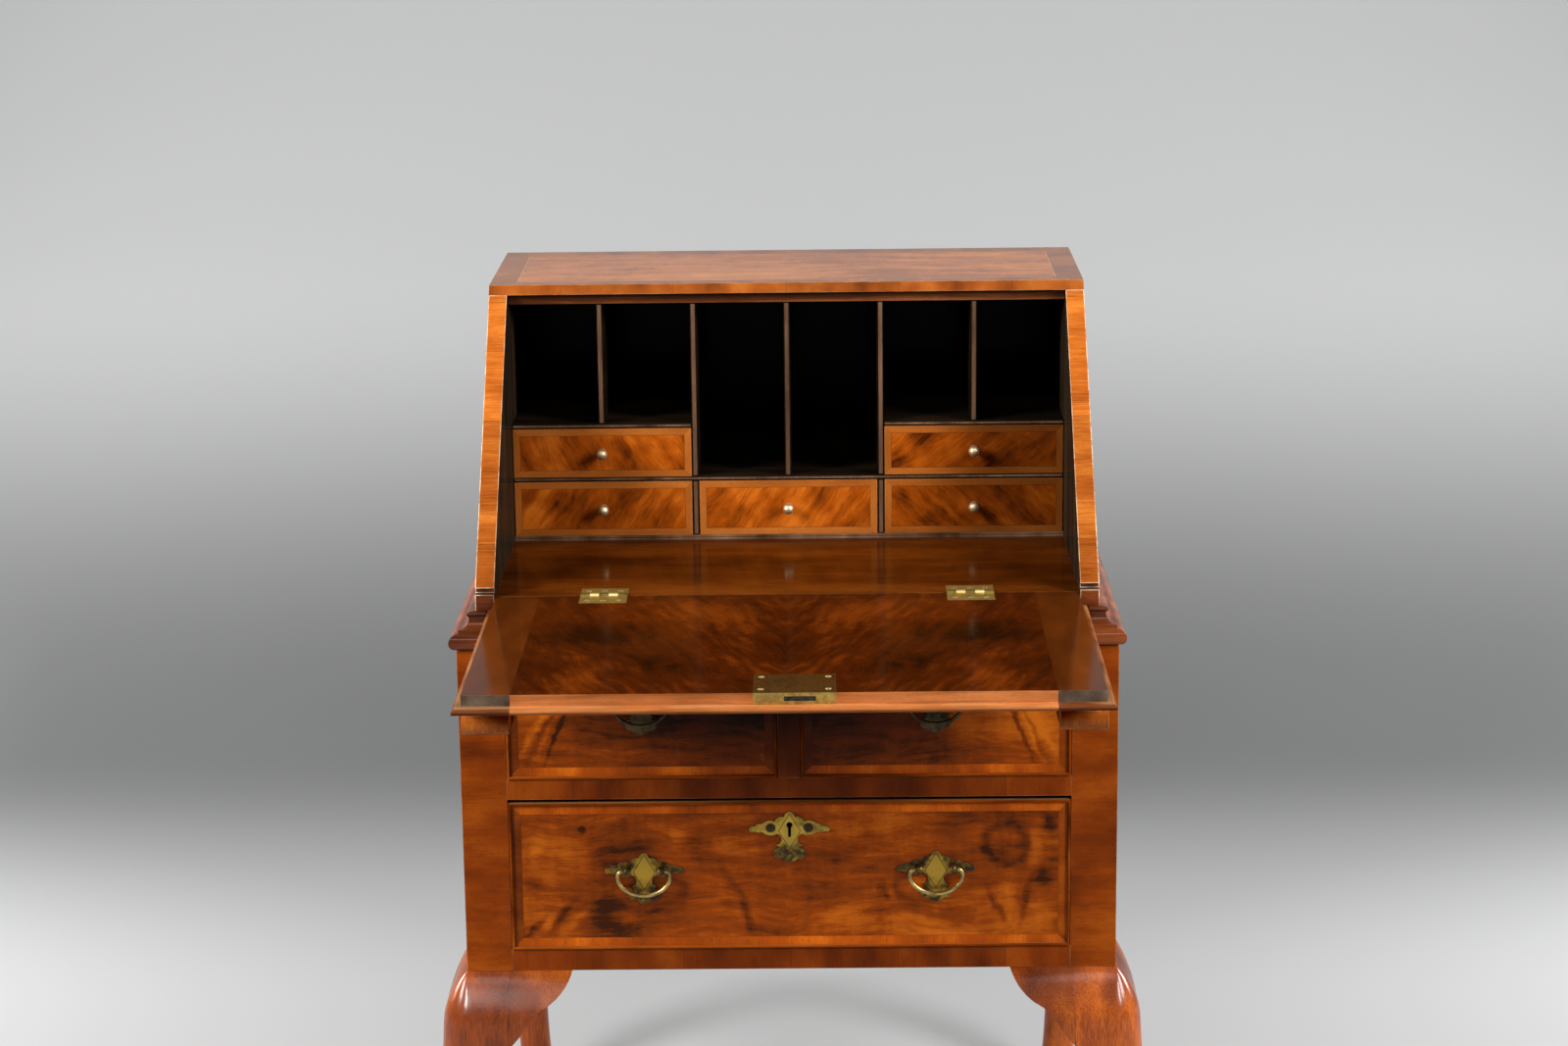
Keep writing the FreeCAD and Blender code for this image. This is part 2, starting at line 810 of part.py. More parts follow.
def bail(place):
    """A bail hanging from two pins: a quarter turn out of each post, half an ellipse between them."""
    x, z = handle_places[place]
    y, bend = pivot_y, bail_bend
    shoulder = post_spacing / 2 + post_head + bail_shoulder_gap
    half, drop = shoulder + bend, bail_drop - bail_radius
    bow = Part.Ellipse(Vector(x - half, y, z - bend), Vector(x, y, z - drop), Vector(x, y, z - bend))
    middle = bow.parameter(Vector(x, y, z - drop))
    quarter = math.pi / 2
    corner = math.sqrt(0.5) * bend
    edges = [Part.ArcOfEllipse(bow, middle - quarter, middle + quarter).toShape()]
    for side in (1, -1):
        root = x + side * shoulder
        start, end = Vector(root, y, z), Vector(x + side * half, y, z - bend)
        edges.append(Part.Arc(start, Vector(root + side * corner, y, z - bend + corner), end).toShape())
    path = Part.Wire(Part.__sortEdges__(edges))
    section = Part.Wire([Part.makeCircle(bail_radius, Vector(x + shoulder, y, z), x_axis)])
    loop = path.makePipeShell([section], True, True)
    pin_start = post_spacing / 2 - post_head
    for side in (1, -1):
        start = Vector(x + side * pin_start, y, z)
        loop = loop.fuse(rod(bail_pin_radius, start, x_axis * side, shoulder - pin_start))
    return loop.removeSplitter()


# Keyhole plate and lock of the long drawer
def keyhole(y0, y1):
    hole = rod(keyhole_radius, Vector(0, y0, keyhole_z), y_axis, y1 - y0)
    half = keyhole_slot / 2
    return hole.fuse(box(-half, half, y0, y1, keyhole_z - keyhole_length + keyhole_radius, keyhole_z))


def escutcheon():
    middle_z = z_middle_rail - escutcheon_drop - plate_corner_shares[0][1] * escutcheon_height
    face = plate_face(escutcheon_width, escutcheon_height, 0, middle_z)
    plate = face.extrude(Vector(0, -plate_thickness, 0))
    plate = plate.cut(keyhole(case_front - plate_thickness, case_front))
    solids = []
    for side in (1, -1):
        start = Vector(side * pin_spacing / 2, case_front, middle_z)
        pin = rod(pin_radius, start, -y_axis, plate_thickness + pin_rise)
        plate = plate.cut(pin)
        solids.append(pin)
    return [plate] + solids


def drawer_lock_block():
    half = drawer_lock_width / 2
    y1 = case_front + drawer_front_thickness
    return box(-half, half, y1 - drawer_lock_depth, y1, long_drawer.z1 - drawer_lock_height, long_drawer.z1)


def drawer_bolt(gap, travel):
    half = drawer_bolt_width / 2 + gap
    y1 = case_front + drawer_front_thickness - drawer_bolt_back + gap
    z1 = z_middle_rail - long_drawer_head_gap
    y0 = y1 - bolt_thickness - 2 * gap
    return box(-half, half, y0, y1, z1 - drawer_bolt_height - gap, z1 + travel + gap)


def drawer_lock():
    return drawer_lock_block().cut(drawer_bolt(slide_gap, overrun)).cut(keyhole(case_front, long_drawer.y_in))


# Cabriole legs
def station(shares):
    depth, out, inset, outer, side = shares
    return depth * leg_height, out * knee_reach, inset * leg_inset, outer, side


def leg_section(shares):
    depth, out, inset, outer, side = station(shares)
    half = (out + inset) / 2
    z = z_case - depth
    corners = [(-out, -out, outer), (inset, -out, side), (inset, inset, side), (-out, inset, side)]
    along = [(1, 0), (0, 1), (-1, 0), (0, -1)]
    edges, bend = [], 1 - math.sqrt(0.5)
    for n, (x, y, share) in enumerate(corners):
        r = half * share
        (bx, by), (ax, ay) = along[n - 1], along[n]
        start, end = Vector(x - bx * r, y - by * r, z), Vector(x + ax * r, y + ay * r, z)
        middle = Vector(x + (ax - bx) * r * bend, y + (ay - by) * r * bend, z)
        edges.append((start, middle, end))
    lines = []
    for n, (start, middle, end) in enumerate(edges):
        lines.append(Part.Arc(start, middle, end).toShape())
        lines.append(Part.LineSegment(end, edges[(n + 1) % len(edges)][0]).toShape())
    return Part.Wire(lines)


def foot():
    top = pad_height + foot_height
    shoulder = foot_radius * foot_shoulder_share
    profile = [
        Part.LineSegment(origin, Vector(pad_radius, 0, 0)),
        Part.LineSegment(Vector(pad_radius, 0, 0), Vector(pad_radius, 0, pad_height)),
        Part.Arc(
            Vector(pad_radius, 0, pad_height),
            Vector(foot_radius, 0, pad_height + foot_height / 2),
            Vector(shoulder, 0, top),
        ),
        Part.LineSegment(Vector(shoulder, 0, top), Vector(0, 0, top)),
        Part.LineSegment(Vector(0, 0, top), origin),
    ]
    face = Part.Face(Part.Wire([edge.toShape() for edge in profile]))
    _, out, inset, *_ = station(station_shares[-1])
    middle = (inset - out) / 2
    return face.revolve(origin, z_axis, 360).translated(Vector(middle, middle, 0))


def leg():
    """A leg at the case's front left bottom corner, which is at x = y = 0 here."""
    shaft = Part.makeLoft([leg_section(s) for s in station_shares], True)
    return shaft.fuse(foot())


def front_bracket():
    def place(share):
        return Vector(share[0] * bracket_length, 0, z_case - share[1] * bracket_drop)

    lobe, sweep = [place(s) for s in bracket_lobe_shares], [place(s) for s in bracket_sweep_shares]
    curve = Part.BSplineCurve()
    curve.interpolate(sweep)
    heel_x = leg_inset + glue_gap
    heel, top = Vector(heel_x, 0, sweep[-1].z), Vector(heel_x, 0, z_case)
    outline = Part.Wire(
        [
            Part.LineSegment(top, lobe[0]).toShape(),
            Part.Arc(*lobe).toShape(),
            curve.toShape(),
            Part.LineSegment(sweep[-1], heel).toShape(),
            Part.LineSegment(heel, top).toShape(),
        ]
    )
    blank = Part.Face(outline).extrude(Vector(0, bracket_depth + knee_reach + overrun, 0))
    blank.translate(Vector(0, -knee_reach - overrun, 0))
    knee = [station(s) for s in station_shares[:knee_stations]]
    face_curve = Part.BSplineCurve()
    face_curve.interpolate([Vector(0, -out, z_case - depth) for depth, out, *_ in knee])
    low = z_case - knee[-1][0]
    bulge = Part.Face(
        Part.Wire(
            [
                face_curve.toShape(),
                Part.makePolygon(
                    [
                        Vector(0, -knee[-1][1], low),
                        Vector(0, bracket_depth, low),
                        Vector(0, bracket_depth, z_case),
                        Vector(0, -knee[0][1], z_case),
                    ]
                ),
            ]
        )
    ).extrude(Vector(bracket_length + overrun, 0, 0))
    return blank.common(bulge)


def leg_corner():
    """The front left leg with its front and side brackets, in place."""
    shaft = leg()
    front = front_bracket()
    side = front.mirror(origin, Vector(1, -1, 0))
    move = Vector(-half_case, case_front, 0)
    return [shape.translated(move) for shape in (shaft, front, side)]


def to_back(shape):
    return shape.mirror(Vector(0, (case_front + desk_back) / 2, 0), y_axis)


# Everything by name
def build():
    shaft, front_ear, side_ear = leg_corner()
    left_side, right_side = case_sides()
    right_corner = corner_moulding()
    right_loper = loper()
    inner_edge = loper_inner - slide_gap
    nodes = {
        "case_left_side": [left_side],
        "case_right_side": [right_side],
        "case_front_frame": case_front_frame(),
        "case_back": [case_back()],
        "case_bottom": [case_shelf(z_long_floor)],
        "dust_board": [case_shelf(z_upper_floor)],
        "case_top": [case_shelf(z_waist)],
        "drawer_guides": drawer_guides(),
        "waist_frame": waist_frame(),
        "waist_moulding_front": [front_moulding(-inner_edge, inner_edge, desk_front, False)],
        "waist_moulding_left": [mirrored(s) for s in right_corner],
        "waist_moulding_right": right_corner,
        "writing_bed": [writing_bed()],
        "desk_left_side": [mirrored(desk_side())],
        "desk_right_side": [desk_side()],
        "desk_top": [desk_top()],
        "desk_back": [desk_back_board()],
        "lock_rail": [lock_rail()],
        "pigeonhole_base": [store_base_board()],
        "pigeonhole_shelves": pigeonhole_shelves(),
        "pigeonhole_partitions": pigeonhole_partitions(),
        "front_legs": both(shaft),
        "back_legs": both(to_back(shaft)),
        "leg_brackets": both(front_ear) + both(side_ear) + both(to_back(side_ear)),
        "bed_hinge_leaves": [hinge_leaf_solid(1, x) for x in hinge_xs] + hinge_pins(),
        "bed_hinge_screws": hinge_screws(1),
        "fall_panel": [fall_panel()],
        "fall_hinge_leaves": [hinge_leaf_solid(-1, x) for x in hinge_xs],
        "fall_screws": hinge_screws(-1) + lock_screws(),
        "fall_lock": [fall_lock()],
        "fall_lock_bolt": [fall_bolt(0, 0)],
        "left_loper": [mirrored(s) for s in right_loper],
        "right_loper": right_loper,
    }
    for name, drawer in (("upper_left_drawer", upper_left), ("upper_right_drawer", upper_right)):
        place = name.replace("_drawer", "")
        nodes[name + "_front"] = drawer.front(handle_bores(place))
        nodes[name + "_box"] = drawer.walls()
        nodes[name + "_handle"] = handle(place)
        nodes[name + "_bail"] = [bail(place)]
    places = ("long_left", "long_right")
    bores = [bore for place in places for bore in handle_bores(place)]
    lock_room = [drawer_lock_block(), keyhole(case_front, long_drawer.y_in)]
    nodes["long_drawer_front"] = long_drawer.front(bores + lock_room)
    nodes["long_drawer_box"] = long_drawer.walls()
    nodes["long_drawer_handles"] = [solid for place in places for solid in handle(place)]
    nodes["long_drawer_left_bail"] = [bail("long_left")]
    nodes["long_drawer_right_bail"] = [bail("long_right")]
    nodes["long_drawer_escutcheon"] = escutcheon()
    nodes["long_drawer_lock"] = [drawer_lock()]
    nodes["long_drawer_lock_bolt"] = [drawer_bolt(0, 0)]
    for name, (x0, x1, low, high) in inner_drawer_places().items():
        x, z = (x0 + x1) / 2, z_bed + (low + high) / 2
        solids = inner_drawer(x0, x1, low, high)
        pull = knob(x, z)
        nodes[name + "_drawer"] = [solids[0].cut(pull)] + solids[1:]
        nodes[name + "_knob"] = [pull]
    return nodes


os.makedirs("parts", exist_ok=True)
for name, solids in build().items():
    Part.makeCompound(solids).exportStep("parts/" + name + ".step")
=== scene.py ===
import json
import math

import bmesh
import bpy
from mathutils import Matrix, Vector

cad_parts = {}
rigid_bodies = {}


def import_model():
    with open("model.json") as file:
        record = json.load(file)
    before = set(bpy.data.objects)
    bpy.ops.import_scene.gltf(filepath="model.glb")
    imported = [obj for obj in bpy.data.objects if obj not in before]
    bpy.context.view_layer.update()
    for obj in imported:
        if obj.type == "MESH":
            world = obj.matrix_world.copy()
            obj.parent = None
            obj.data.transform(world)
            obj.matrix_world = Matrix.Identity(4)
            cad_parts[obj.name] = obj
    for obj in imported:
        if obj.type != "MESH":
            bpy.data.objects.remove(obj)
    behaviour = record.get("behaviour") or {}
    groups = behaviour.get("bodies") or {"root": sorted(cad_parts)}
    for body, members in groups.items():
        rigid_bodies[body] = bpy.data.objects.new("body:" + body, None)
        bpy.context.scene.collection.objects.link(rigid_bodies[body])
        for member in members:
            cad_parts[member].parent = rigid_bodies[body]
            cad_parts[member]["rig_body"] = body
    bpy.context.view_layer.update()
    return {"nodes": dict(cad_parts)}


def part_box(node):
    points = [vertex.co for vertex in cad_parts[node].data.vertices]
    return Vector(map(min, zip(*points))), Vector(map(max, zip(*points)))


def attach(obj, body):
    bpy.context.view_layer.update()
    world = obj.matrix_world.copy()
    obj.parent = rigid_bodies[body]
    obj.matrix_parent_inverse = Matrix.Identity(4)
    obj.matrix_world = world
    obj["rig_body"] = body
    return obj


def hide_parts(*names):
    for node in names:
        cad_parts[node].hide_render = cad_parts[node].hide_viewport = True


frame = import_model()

# Metres. The front faces -Y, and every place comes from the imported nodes.
MM = 0.001

# Roundings of the arrises, by what they are on
CASE_ARRIS = 0.6 * MM
BOARD_ARRIS = 0.4 * MM
BED_ARRIS = 0.3 * MM
MOULDING_ARRIS = 0.35 * MM
SIDE_ARRIS = 1.0 * MM
TOP_ARRIS = 0.8 * MM
RAIL_ARRIS = 2.4 * MM
PIGEONHOLE_ARRIS = 1.3 * MM
FALL_ARRIS = 0.5 * MM
DRAWER_ARRIS = 0.5 * MM
BRASS_ARRIS = 0.8 * MM

# Edges that turn by more than this many degrees stay sharp
MOULDED_TURN = 30.0
CARVED_TURN = 40.0
CAST_TURN = 50.0

# Widths of the veneered borders, and of the cleats at the fall's ends
CASE_BORDER = 30 * MM
SLOPE_BORDER = 18 * MM
TOP_BORDER = 30 * MM
FALL_BORDER = 24 * MM
DRAWER_BORDER = 13 * MM
SMALL_DRAWER_BORDER = 8 * MM
CLEAT_WIDTH = 49 * MM

# Other sizes
GLUE_LINE = 0.2 * MM
SLIDE_GAP = 0.2 * MM
SAME_FACE = 1 * MM
LOPER_MOULDING = 25 * MM
BEAD_RISE = 2.5 * MM
SMALL_DRAWER_FRONT = 5 * MM
LIP_LEDGE = 6.2 * MM
KNUCKLE_RISE = 0.5 * MM

# Colours, linear: each wood goes from its dark figure through its body to its light figure
WALNUT = ((0.045, 0.0095, 0.0016), (0.275, 0.047, 0.0015), (0.62, 0.145, 0.007))
STILE = ((0.100, 0.015, 0.0008), (0.255, 0.042, 0.0012), (0.42, 0.086, 0.004))
SIDE_WALNUT = ((0.022, 0.0052, 0.0011), (0.125, 0.0250, 0.0022), (0.28, 0.074, 0.007))
SIDE_BAND = ((0.052, 0.0098, 0.0011), (0.122, 0.0245, 0.0022), (0.20, 0.048, 0.005))
ORANGE = ((0.20, 0.040, 0.004), (0.455, 0.110, 0.012), (0.70, 0.215, 0.030))
BROW = ((0.12, 0.026, 0.004), (0.270, 0.064, 0.009), (0.42, 0.120, 0.019))
FALL_EDGE = ((0.26, 0.074, 0.017), (0.445, 0.138, 0.036), (0.62, 0.215, 0.062))
LEG = ((0.040, 0.007, 0.0010), (0.170, 0.030, 0.0025), (0.44, 0.100, 0.008))
BRACKET = ((0.034, 0.0060, 0.0009), (0.140, 0.0255, 0.0023), (0.36, 0.084, 0.007))
MOULDED = ((0.044, 0.009, 0.002), (0.175, 0.036, 0.005), (0.33, 0.078, 0.012))
ROSY = ((0.090, 0.022, 0.004), (0.330, 0.092, 0.016), (0.66, 0.220, 0.042))
DEEP = ((0.010, 0.0026, 0.0005), (0.052, 0.0086, 0.0007), (0.148, 0.027, 0.002))
CLEAT = ((0.024, 0.005, 0.0008), (0.066, 0.014, 0.0015), (0.12, 0.027, 0.003))
LIP_END = ((0.080, 0.020, 0.005), (0.160, 0.044, 0.012), (0.25, 0.078, 0.022))
RAIL = ((0.078, 0.012, 0.0008), (0.205, 0.034, 0.0014), (0.34, 0.070, 0.004))
# Lighter than the waist moulding it matches: painted light that lifts the lopers out of the fall's shadow
LOPER = ((0.110, 0.024, 0.003), (0.340, 0.082, 0.009), (0.55, 0.165, 0.024))
UNDER_TOP = ((0.040, 0.011, 0.003), (0.110, 0.030, 0.008), (0.24, 0.074, 0.022))
BED = ((0.024, 0.005, 0.0006), (0.080, 0.016, 0.0010), (0.160, 0.036, 0.0030))
GOLDEN = ((0.050, 0.009, 0.0010), (0.370, 0.070, 0.0035), (0.70, 0.175, 0.013))
PALE_BAND = ((0.20, 0.050, 0.006), (0.400, 0.110, 0.016), (0.58, 0.190, 0.034))
# Dark stain for the desk's inside, also used as painted shade on rounded arrises
STAINED_AND_SHADE = ((0.004, 0.003, 0.002), (0.010, 0.006, 0.003), (0.020, 0.011, 0.006))
CHEEK = ((0.010, 0.007, 0.004), (0.026, 0.016, 0.009), (0.050, 0.030, 0.016))
RUBBED = ((0.040, 0.020, 0.010), (0.125, 0.064, 0.036), (0.24, 0.135, 0.080))
END_GRAIN = ((0.055, 0.034, 0.022), (0.105, 0.068, 0.046), (0.17, 0.115, 0.080))
OAK = ((0.15, 0.070, 0.025), (0.270, 0.138, 0.052), (0.37, 0.210, 0.088))
WORN = (0.60, 0.33, 0.13, 1)
WORN_PALE = (0.78, 0.62, 0.42, 1)
DARK_LINE = (0.020, 0.008, 0.004, 1)
FLOOR = (0.312, 0.313, 0.314, 1)
# Painted shade on the ground beside and behind the desk
SIDE_FLOOR_SHADE = (0.19, 0.191, 0.192, 1)
FAR_FLOOR_SHADE = (0.095, 0.096, 0.097, 1)
BACKDROP = (0.355, 0.356, 0.357, 1)


# Shader graphs
class Graph:
    """Short calls that add nodes to one material and link them."""

    def __init__(self, name):
        self.material = bpy.data.materials.new(name)
        self.material.use_nodes = True
        self.tree = self.material.node_tree
        self.tree.nodes.clear()
        self.shader = self.add("ShaderNodeBsdfPrincipled")
        self.output = self.add("ShaderNodeOutputMaterial")
        self.feed(self.output.inputs["Surface"], self.shader.outputs["BSDF"])
        self.place = self.add("ShaderNodeTexCoord").outputs["Object"]

    def add(self, kind, **settings):
        node = self.tree.nodes.new(kind)
        for key, value in settings.items():
            setattr(node, key, value)
        return node

    def feed(self, socket, value):
        if isinstance(value, bpy.types.NodeSocket):
            self.tree.links.new(value, socket)
        else:
            socket.default_value = value

    def math(self, operation, *values):
        node = self.add("ShaderNodeMath", operation=operation)
        for socket, value in zip(node.inputs, values):
            self.feed(socket, value)
        return node.outputs[0]

    def vector(self, operation, *values):
        node = self.add("ShaderNodeVectorMath", operation=operation)
        for socket, value in zip(node.inputs, values):
            self.feed(socket, value)
        return node.outputs["Value"] if operation == "LENGTH" else node.outputs["Vector"]

    def mix(self, share, a, b, blend="MIX"):
        node = self.add("ShaderNodeMix", data_type="RGBA", blend_type=blend)
        self.feed(node.inputs[0], share)
        self.feed(node.inputs[6], a)
        self.feed(node.inputs[7], b)
        return node.outputs[2]

    def mapped(self, place, turn=(0, 0, 0), scale=(1, 1, 1), shift=(0, 0, 0), kind="POINT"):
        node = self.add("ShaderNodeMapping", vector_type=kind)
        self.feed(node.inputs["Vector"], place)
        node.inputs["Rotation"].default_value = turn
        node.inputs["Scale"].default_value = scale
        node.inputs["Location"].default_value = shift
        return node.outputs["Vector"]

    def noise(self, place, scale=1.0, detail=3.0, roughness=0.5, colour=False):
        node = self.add("ShaderNodeTexNoise")
        self.feed(node.inputs["Vector"], place)
        node.inputs["Scale"].default_value = scale
        node.inputs["Detail"].default_value = detail
        node.inputs["Roughness"].default_value = roughness
        return node.outputs["Color" if colour else "Fac"]

    def span(self, value, low, high, out_low=0.0, out_high=1.0, smooth=True):
        node = self.add("ShaderNodeMapRange", interpolation_type="SMOOTHSTEP" if smooth else "LINEAR")
        for socket, item in zip(node.inputs, (value, low, high, out_low, out_high)):
            self.feed(socket, item)
        return node.outputs[0]

    def ramp(self, share, colours, places):
        node = self.add("ShaderNodeValToRGB")
        elements = node.color_ramp.elements
        while len(elements) < len(colours):
            elements.new(0.5)
        for element, colour, place in zip(elements, colours, places):
            element.position = place
            element.color = (*colour[:3], 1)
        self.feed(node.inputs["Fac"], share)
        return node.outputs["Color"]

    def split(self, place):
        node = self.add("ShaderNodeSeparateXYZ")
        self.feed(node.inputs[0], place)
        return dict(zip("XYZ", node.outputs))

    def attribute(self, name):
        return self.add("ShaderNodeAttribute", attribute_name=name).outputs["Fac"]

    def sway(self, value, noise, share):
        """The value raised or lowered by a share of a noise, which lies about 0.5."""
        return self.math("MULTIPLY_ADD", self.math("SUBTRACT", noise, 0.5), share, value)

    def total(self, parts):
        whole = parts[0]
        for part in parts[1:]:
            whole = self.math("ADD", whole, part)
        return whole

    def warped(self, place, scale, reach, detail=2.0):
        """The place pushed about by a noise, so that what is drawn there wanders."""
        push = self.vector("SUBTRACT", self.noise(place, scale, detail, colour=True), (0.5, 0.5, 0.5))
        return self.vector("ADD", place, self.vector("SCALE", push, (0, 0, 0), (0, 0, 0), reach))

    def bump(self, height, distance, strength=0.5):
        node = self.add("ShaderNodeBump")
        node.inputs["Strength"].default_value = strength
        node.inputs["Distance"].default_value = distance
        self.feed(node.inputs["Height"], height)
        self.feed(self.shader.inputs["Normal"], node.outputs["Normal"])

    def polish(self, roughness, coat=0.0, coat_roughness=0.1, specular=0.5):
        self.feed(self.shader.inputs["Roughness"], roughness)
        self.shader.inputs["Coat Weight"].default_value = coat
        self.shader.inputs["Coat Roughness"].default_value = coat_roughness
        self.shader.inputs["Specular IOR Level"].default_value = specular

    def paint(self, colour):
        self.feed(self.shader.inputs["Base Color"], colour)


# Woods
ALONG_X = (0, 0, 0)
ALONG_Y = (0, 0, math.radians(-90))
ALONG_Z = (0, math.radians(90), 0)


def grain(g, place, turn, colours, seed, bands=26.0, spread=1.0, fibre=1.0, mottle=1.0):
    """Straight-grained wood along one direction: growth bands, fibres, mottle and pores."""
    along = g.mapped(place, turn, shift=(seed * 0.37, seed * 0.53, seed * 0.71))
    wandering = g.warped(along, 5.0, 0.012)
    growth = g.noise(g.mapped(wandering, scale=(2.4, bands, bands)), detail=3.0)
    fibres = g.noise(g.mapped(wandering, scale=(22, 850, 850)), detail=2.0)
    clouds = g.noise(g.mapped(along, scale=(14, 34, 34)), detail=3.0)
    pores = g.noise(g.mapped(wandering, scale=(170, 2600, 2600)), detail=0.0)
    value = g.math("MULTIPLY_ADD", growth, 1.5 * spread, 0.5 - 0.75 * spread)
    value = g.sway(value, fibres, 0.55 * fibre)
    value = g.sway(value, clouds, 0.7 * mottle)
    colour = g.ramp(value, colours, (0.12, 0.5, 0.9))
    dots = g.span(pores, 0.64, 0.72)
    colour = g.mix(g.math("MULTIPLY", dots, 0.45), colour, (*colours[0], 1))
    height = g.math("SUBTRACT", g.math("MULTIPLY", fibres, 0.4), dots)
    return colour, height


def burr(g, place, colours, seed, size=9.0, swirl=0.05, rings=60.0, level=0.5):
    """Swirling burr figure: clouds pushed about three times, with thin growth lines that follow them."""
    moved = g.mapped(place, shift=(seed * 0.31, seed * 0.17, seed * 0.43))
    first = g.warped(moved, size * 0.55, swirl)
    second = g.warped(first, size * 2.4, swirl * 0.32)
    third = g.warped(second, size * 9.0, swirl * 0.08)
    clouds = g.noise(third, size, detail=6.0, roughness=0.6)
    wave = g.math("SINE", g.math("MULTIPLY", g.noise(second, size * 0.8, detail=2.0), rings))
    lines = g.math("POWER", g.math("SUBTRACT", 1.0, g.math("ABSOLUTE", wave)), 3.0)
    fibres = g.noise(g.mapped(second, turn=(0.5, 0.4, 0.6), scale=(150, 800, 420)), detail=3.0)
    specks = g.noise(second, 420.0, detail=1.0)
    value = g.sway(level, clouds, 1.9)
    value = g.math("MULTIPLY_ADD", lines, -0.10, value)
    value = g.sway(value, fibres, 0.45)
    colour = g.ramp(value, colours, (0.1, 0.5, 0.92))
    dots = g.span(specks, 0.66, 0.74)
    colour = g.mix(g.math("MULTIPLY", dots, 0.3), colour, (*colours[0], 1))
    height = g.math("SUBTRACT", g.math("MULTIPLY", fibres, 0.4), dots)
    return colour, height


def flame(g, place, colours, seed, level=0.5, shades=None, contrast=1.0):
    """Flamed figure along X: broad soft clouds, streaks that wander through them, and a ripple across."""
    moved = g.mapped(place, shift=(seed * 0.31, seed * 0.17, seed * 0.43))
    drift = g.warped(moved, 7.0, 0.035)
    close = g.warped(drift, 28.0, 0.007)
    broad = g.noise(g.mapped(drift, scale=(6, 9, 12)), detail=3.0)
    streaks = g.noise(g.mapped(close, scale=(17, 90, 120)), detail=4.0, roughness=0.55)
    ripple = g.noise(g.mapped(close, scale=(110, 36, 24)), detail=2.0)
    fibres = g.noise(g.mapped(close, scale=(70, 900, 900)), detail=2.0)
    value = level
    for part, share in ((broad, 1.15), (streaks, 0.85), (ripple, 0.20), (fibres, 0.36)):
        value = g.sway(value, part, share * contrast)
    if shades is not None:
        value = g.math("ADD", value, shades)
    return g.ramp(value, colours, (0.08, 0.5, 0.92)), fibres


def stripes(g, place, colours, seed, tilt, level):
    """Diagonal striped figure across a small drawer front, which lies in X and Z."""
    turned = g.mapped(place, turn=(0, tilt, 0), shift=(seed * 0.29, seed * 0.41, seed * 0.23))
    wandering = g.warped(g.warped(turned, 16.0, 0.022), 70.0, 0.005)
    broad = g.noise(g.mapped(wandering, scale=(70, 20, 11)), detail=3.0)
    fine = g.noise(g.mapped(wandering, scale=(420, 90, 60)), detail=2.0)
    clouds = g.noise(g.warped(turned, 30.0, 0.02), 24.0, detail=4.0)
    value = g.sway(level, broad, 0.9)
    value = g.sway(value, fine, 0.35)
    value = g.sway(value, clouds, 1.1)
    return g.ramp(value, colours, (0.1, 0.5, 0.9)), fine


def edge_wear(g, colour, pale, share):
    """The arrises, which carry a wear value, rubbed pale in patches."""
    patches = g.span(g.noise(g.place, 55.0, detail=4.0, roughness=0.7), 0.38, 0.62, 0.25, 1.0)
    rubbed = g.math("MULTIPLY", g.math("MULTIPLY", g.attribute("wear"), patches), share)
    return g.mix(rubbed, colour, pale)


def finish_wood(g, colour, height, gloss, wear=0.5, pale=WORN, coat=0.25, haze=None, cast=None):
    """Wear on the arrises, a fine grain relief, and polish: gloss is 0 for bare wood and 1 for a mirror, haze
    blurs what the polish mirrors, and cast(g) gives a tone for the whole wood, such as the fall's painted shadow."""
    if cast is not None:
        colour = g.mix(1.0, colour, cast(g), "MULTIPLY")
    g.paint(edge_wear(g, colour, pale, wear))
    g.bump(height, 0.00012, 0.3)
    smears = g.noise(g.place, 17.0, detail=4.0, roughness=0.6)
    rough = 0.60 - 0.22 * gloss
    if haze is None:
        haze = 0.22 - 0.15 * gloss
    g.polish(g.span(smears, 0.3, 0.7, rough, rough + 0.10), coat * gloss, haze, 0.0)
    return g.material


def plain_wood(name, colours, turn, seed=1, gloss=0.6, wear=0.5, pale=WORN, coat=0.25, haze=None, cast=None,
               **figure):
    g = Graph(name)
    colour, height = grain(g, g.place, turn, colours, seed, **figure)
    return finish_wood(g, colour, height, gloss, wear, pale, coat, haze, cast)


def segment_tone(g, along, length, seed):
    """A tone for each short length of cross-grained veneer, and a mask of the joints between them."""
    steps = g.math("DIVIDE", along, length)
    node = g.add("ShaderNodeTexWhiteNoise", noise_dimensions="1D")
    g.feed(node.inputs["W"], g.math("ADD", g.math("FLOOR", steps), seed * 7.3))
    part = g.math("FRACT", steps)
    near = g.math("MINIMUM", part, g.math("SUBTRACT", 1.0, part))
    joint = g.span(near, 0.0, 0.0006 / length, 1.0, 0.0)
    return node.outputs["Value"], joint


def cross_band(name, colours, axis, turn, length, seed=1, gloss=0.6, wear=0.5, pale=WORN, fibre=0.6, bands=18.0,
               cast=None):
    """Short lengths of veneer laid side by side along one axis, the grain across it."""
    g = Graph(name)
    colour, height = grain(g, g.place, turn, colours, seed, bands=bands, spread=0.7, fibre=fibre, mottle=1.5)
    tone, joint = segment_tone(g, g.split(g.place)[axis], length, seed)
    colour = g.mix(1.0, colour, g.ramp(tone, ((0.62, 0.58, 0.55), (1.0, 1.0, 1.0), (1.18, 1.14, 1.08)), (0, 0.5, 1)),
                   "MULTIPLY")
    colour = g.mix(g.math("MULTIPLY", joint, 0.5), colour, DARK_LINE)
    return finish_wood(g, colour, height, gloss, wear, pale, cast=cast)


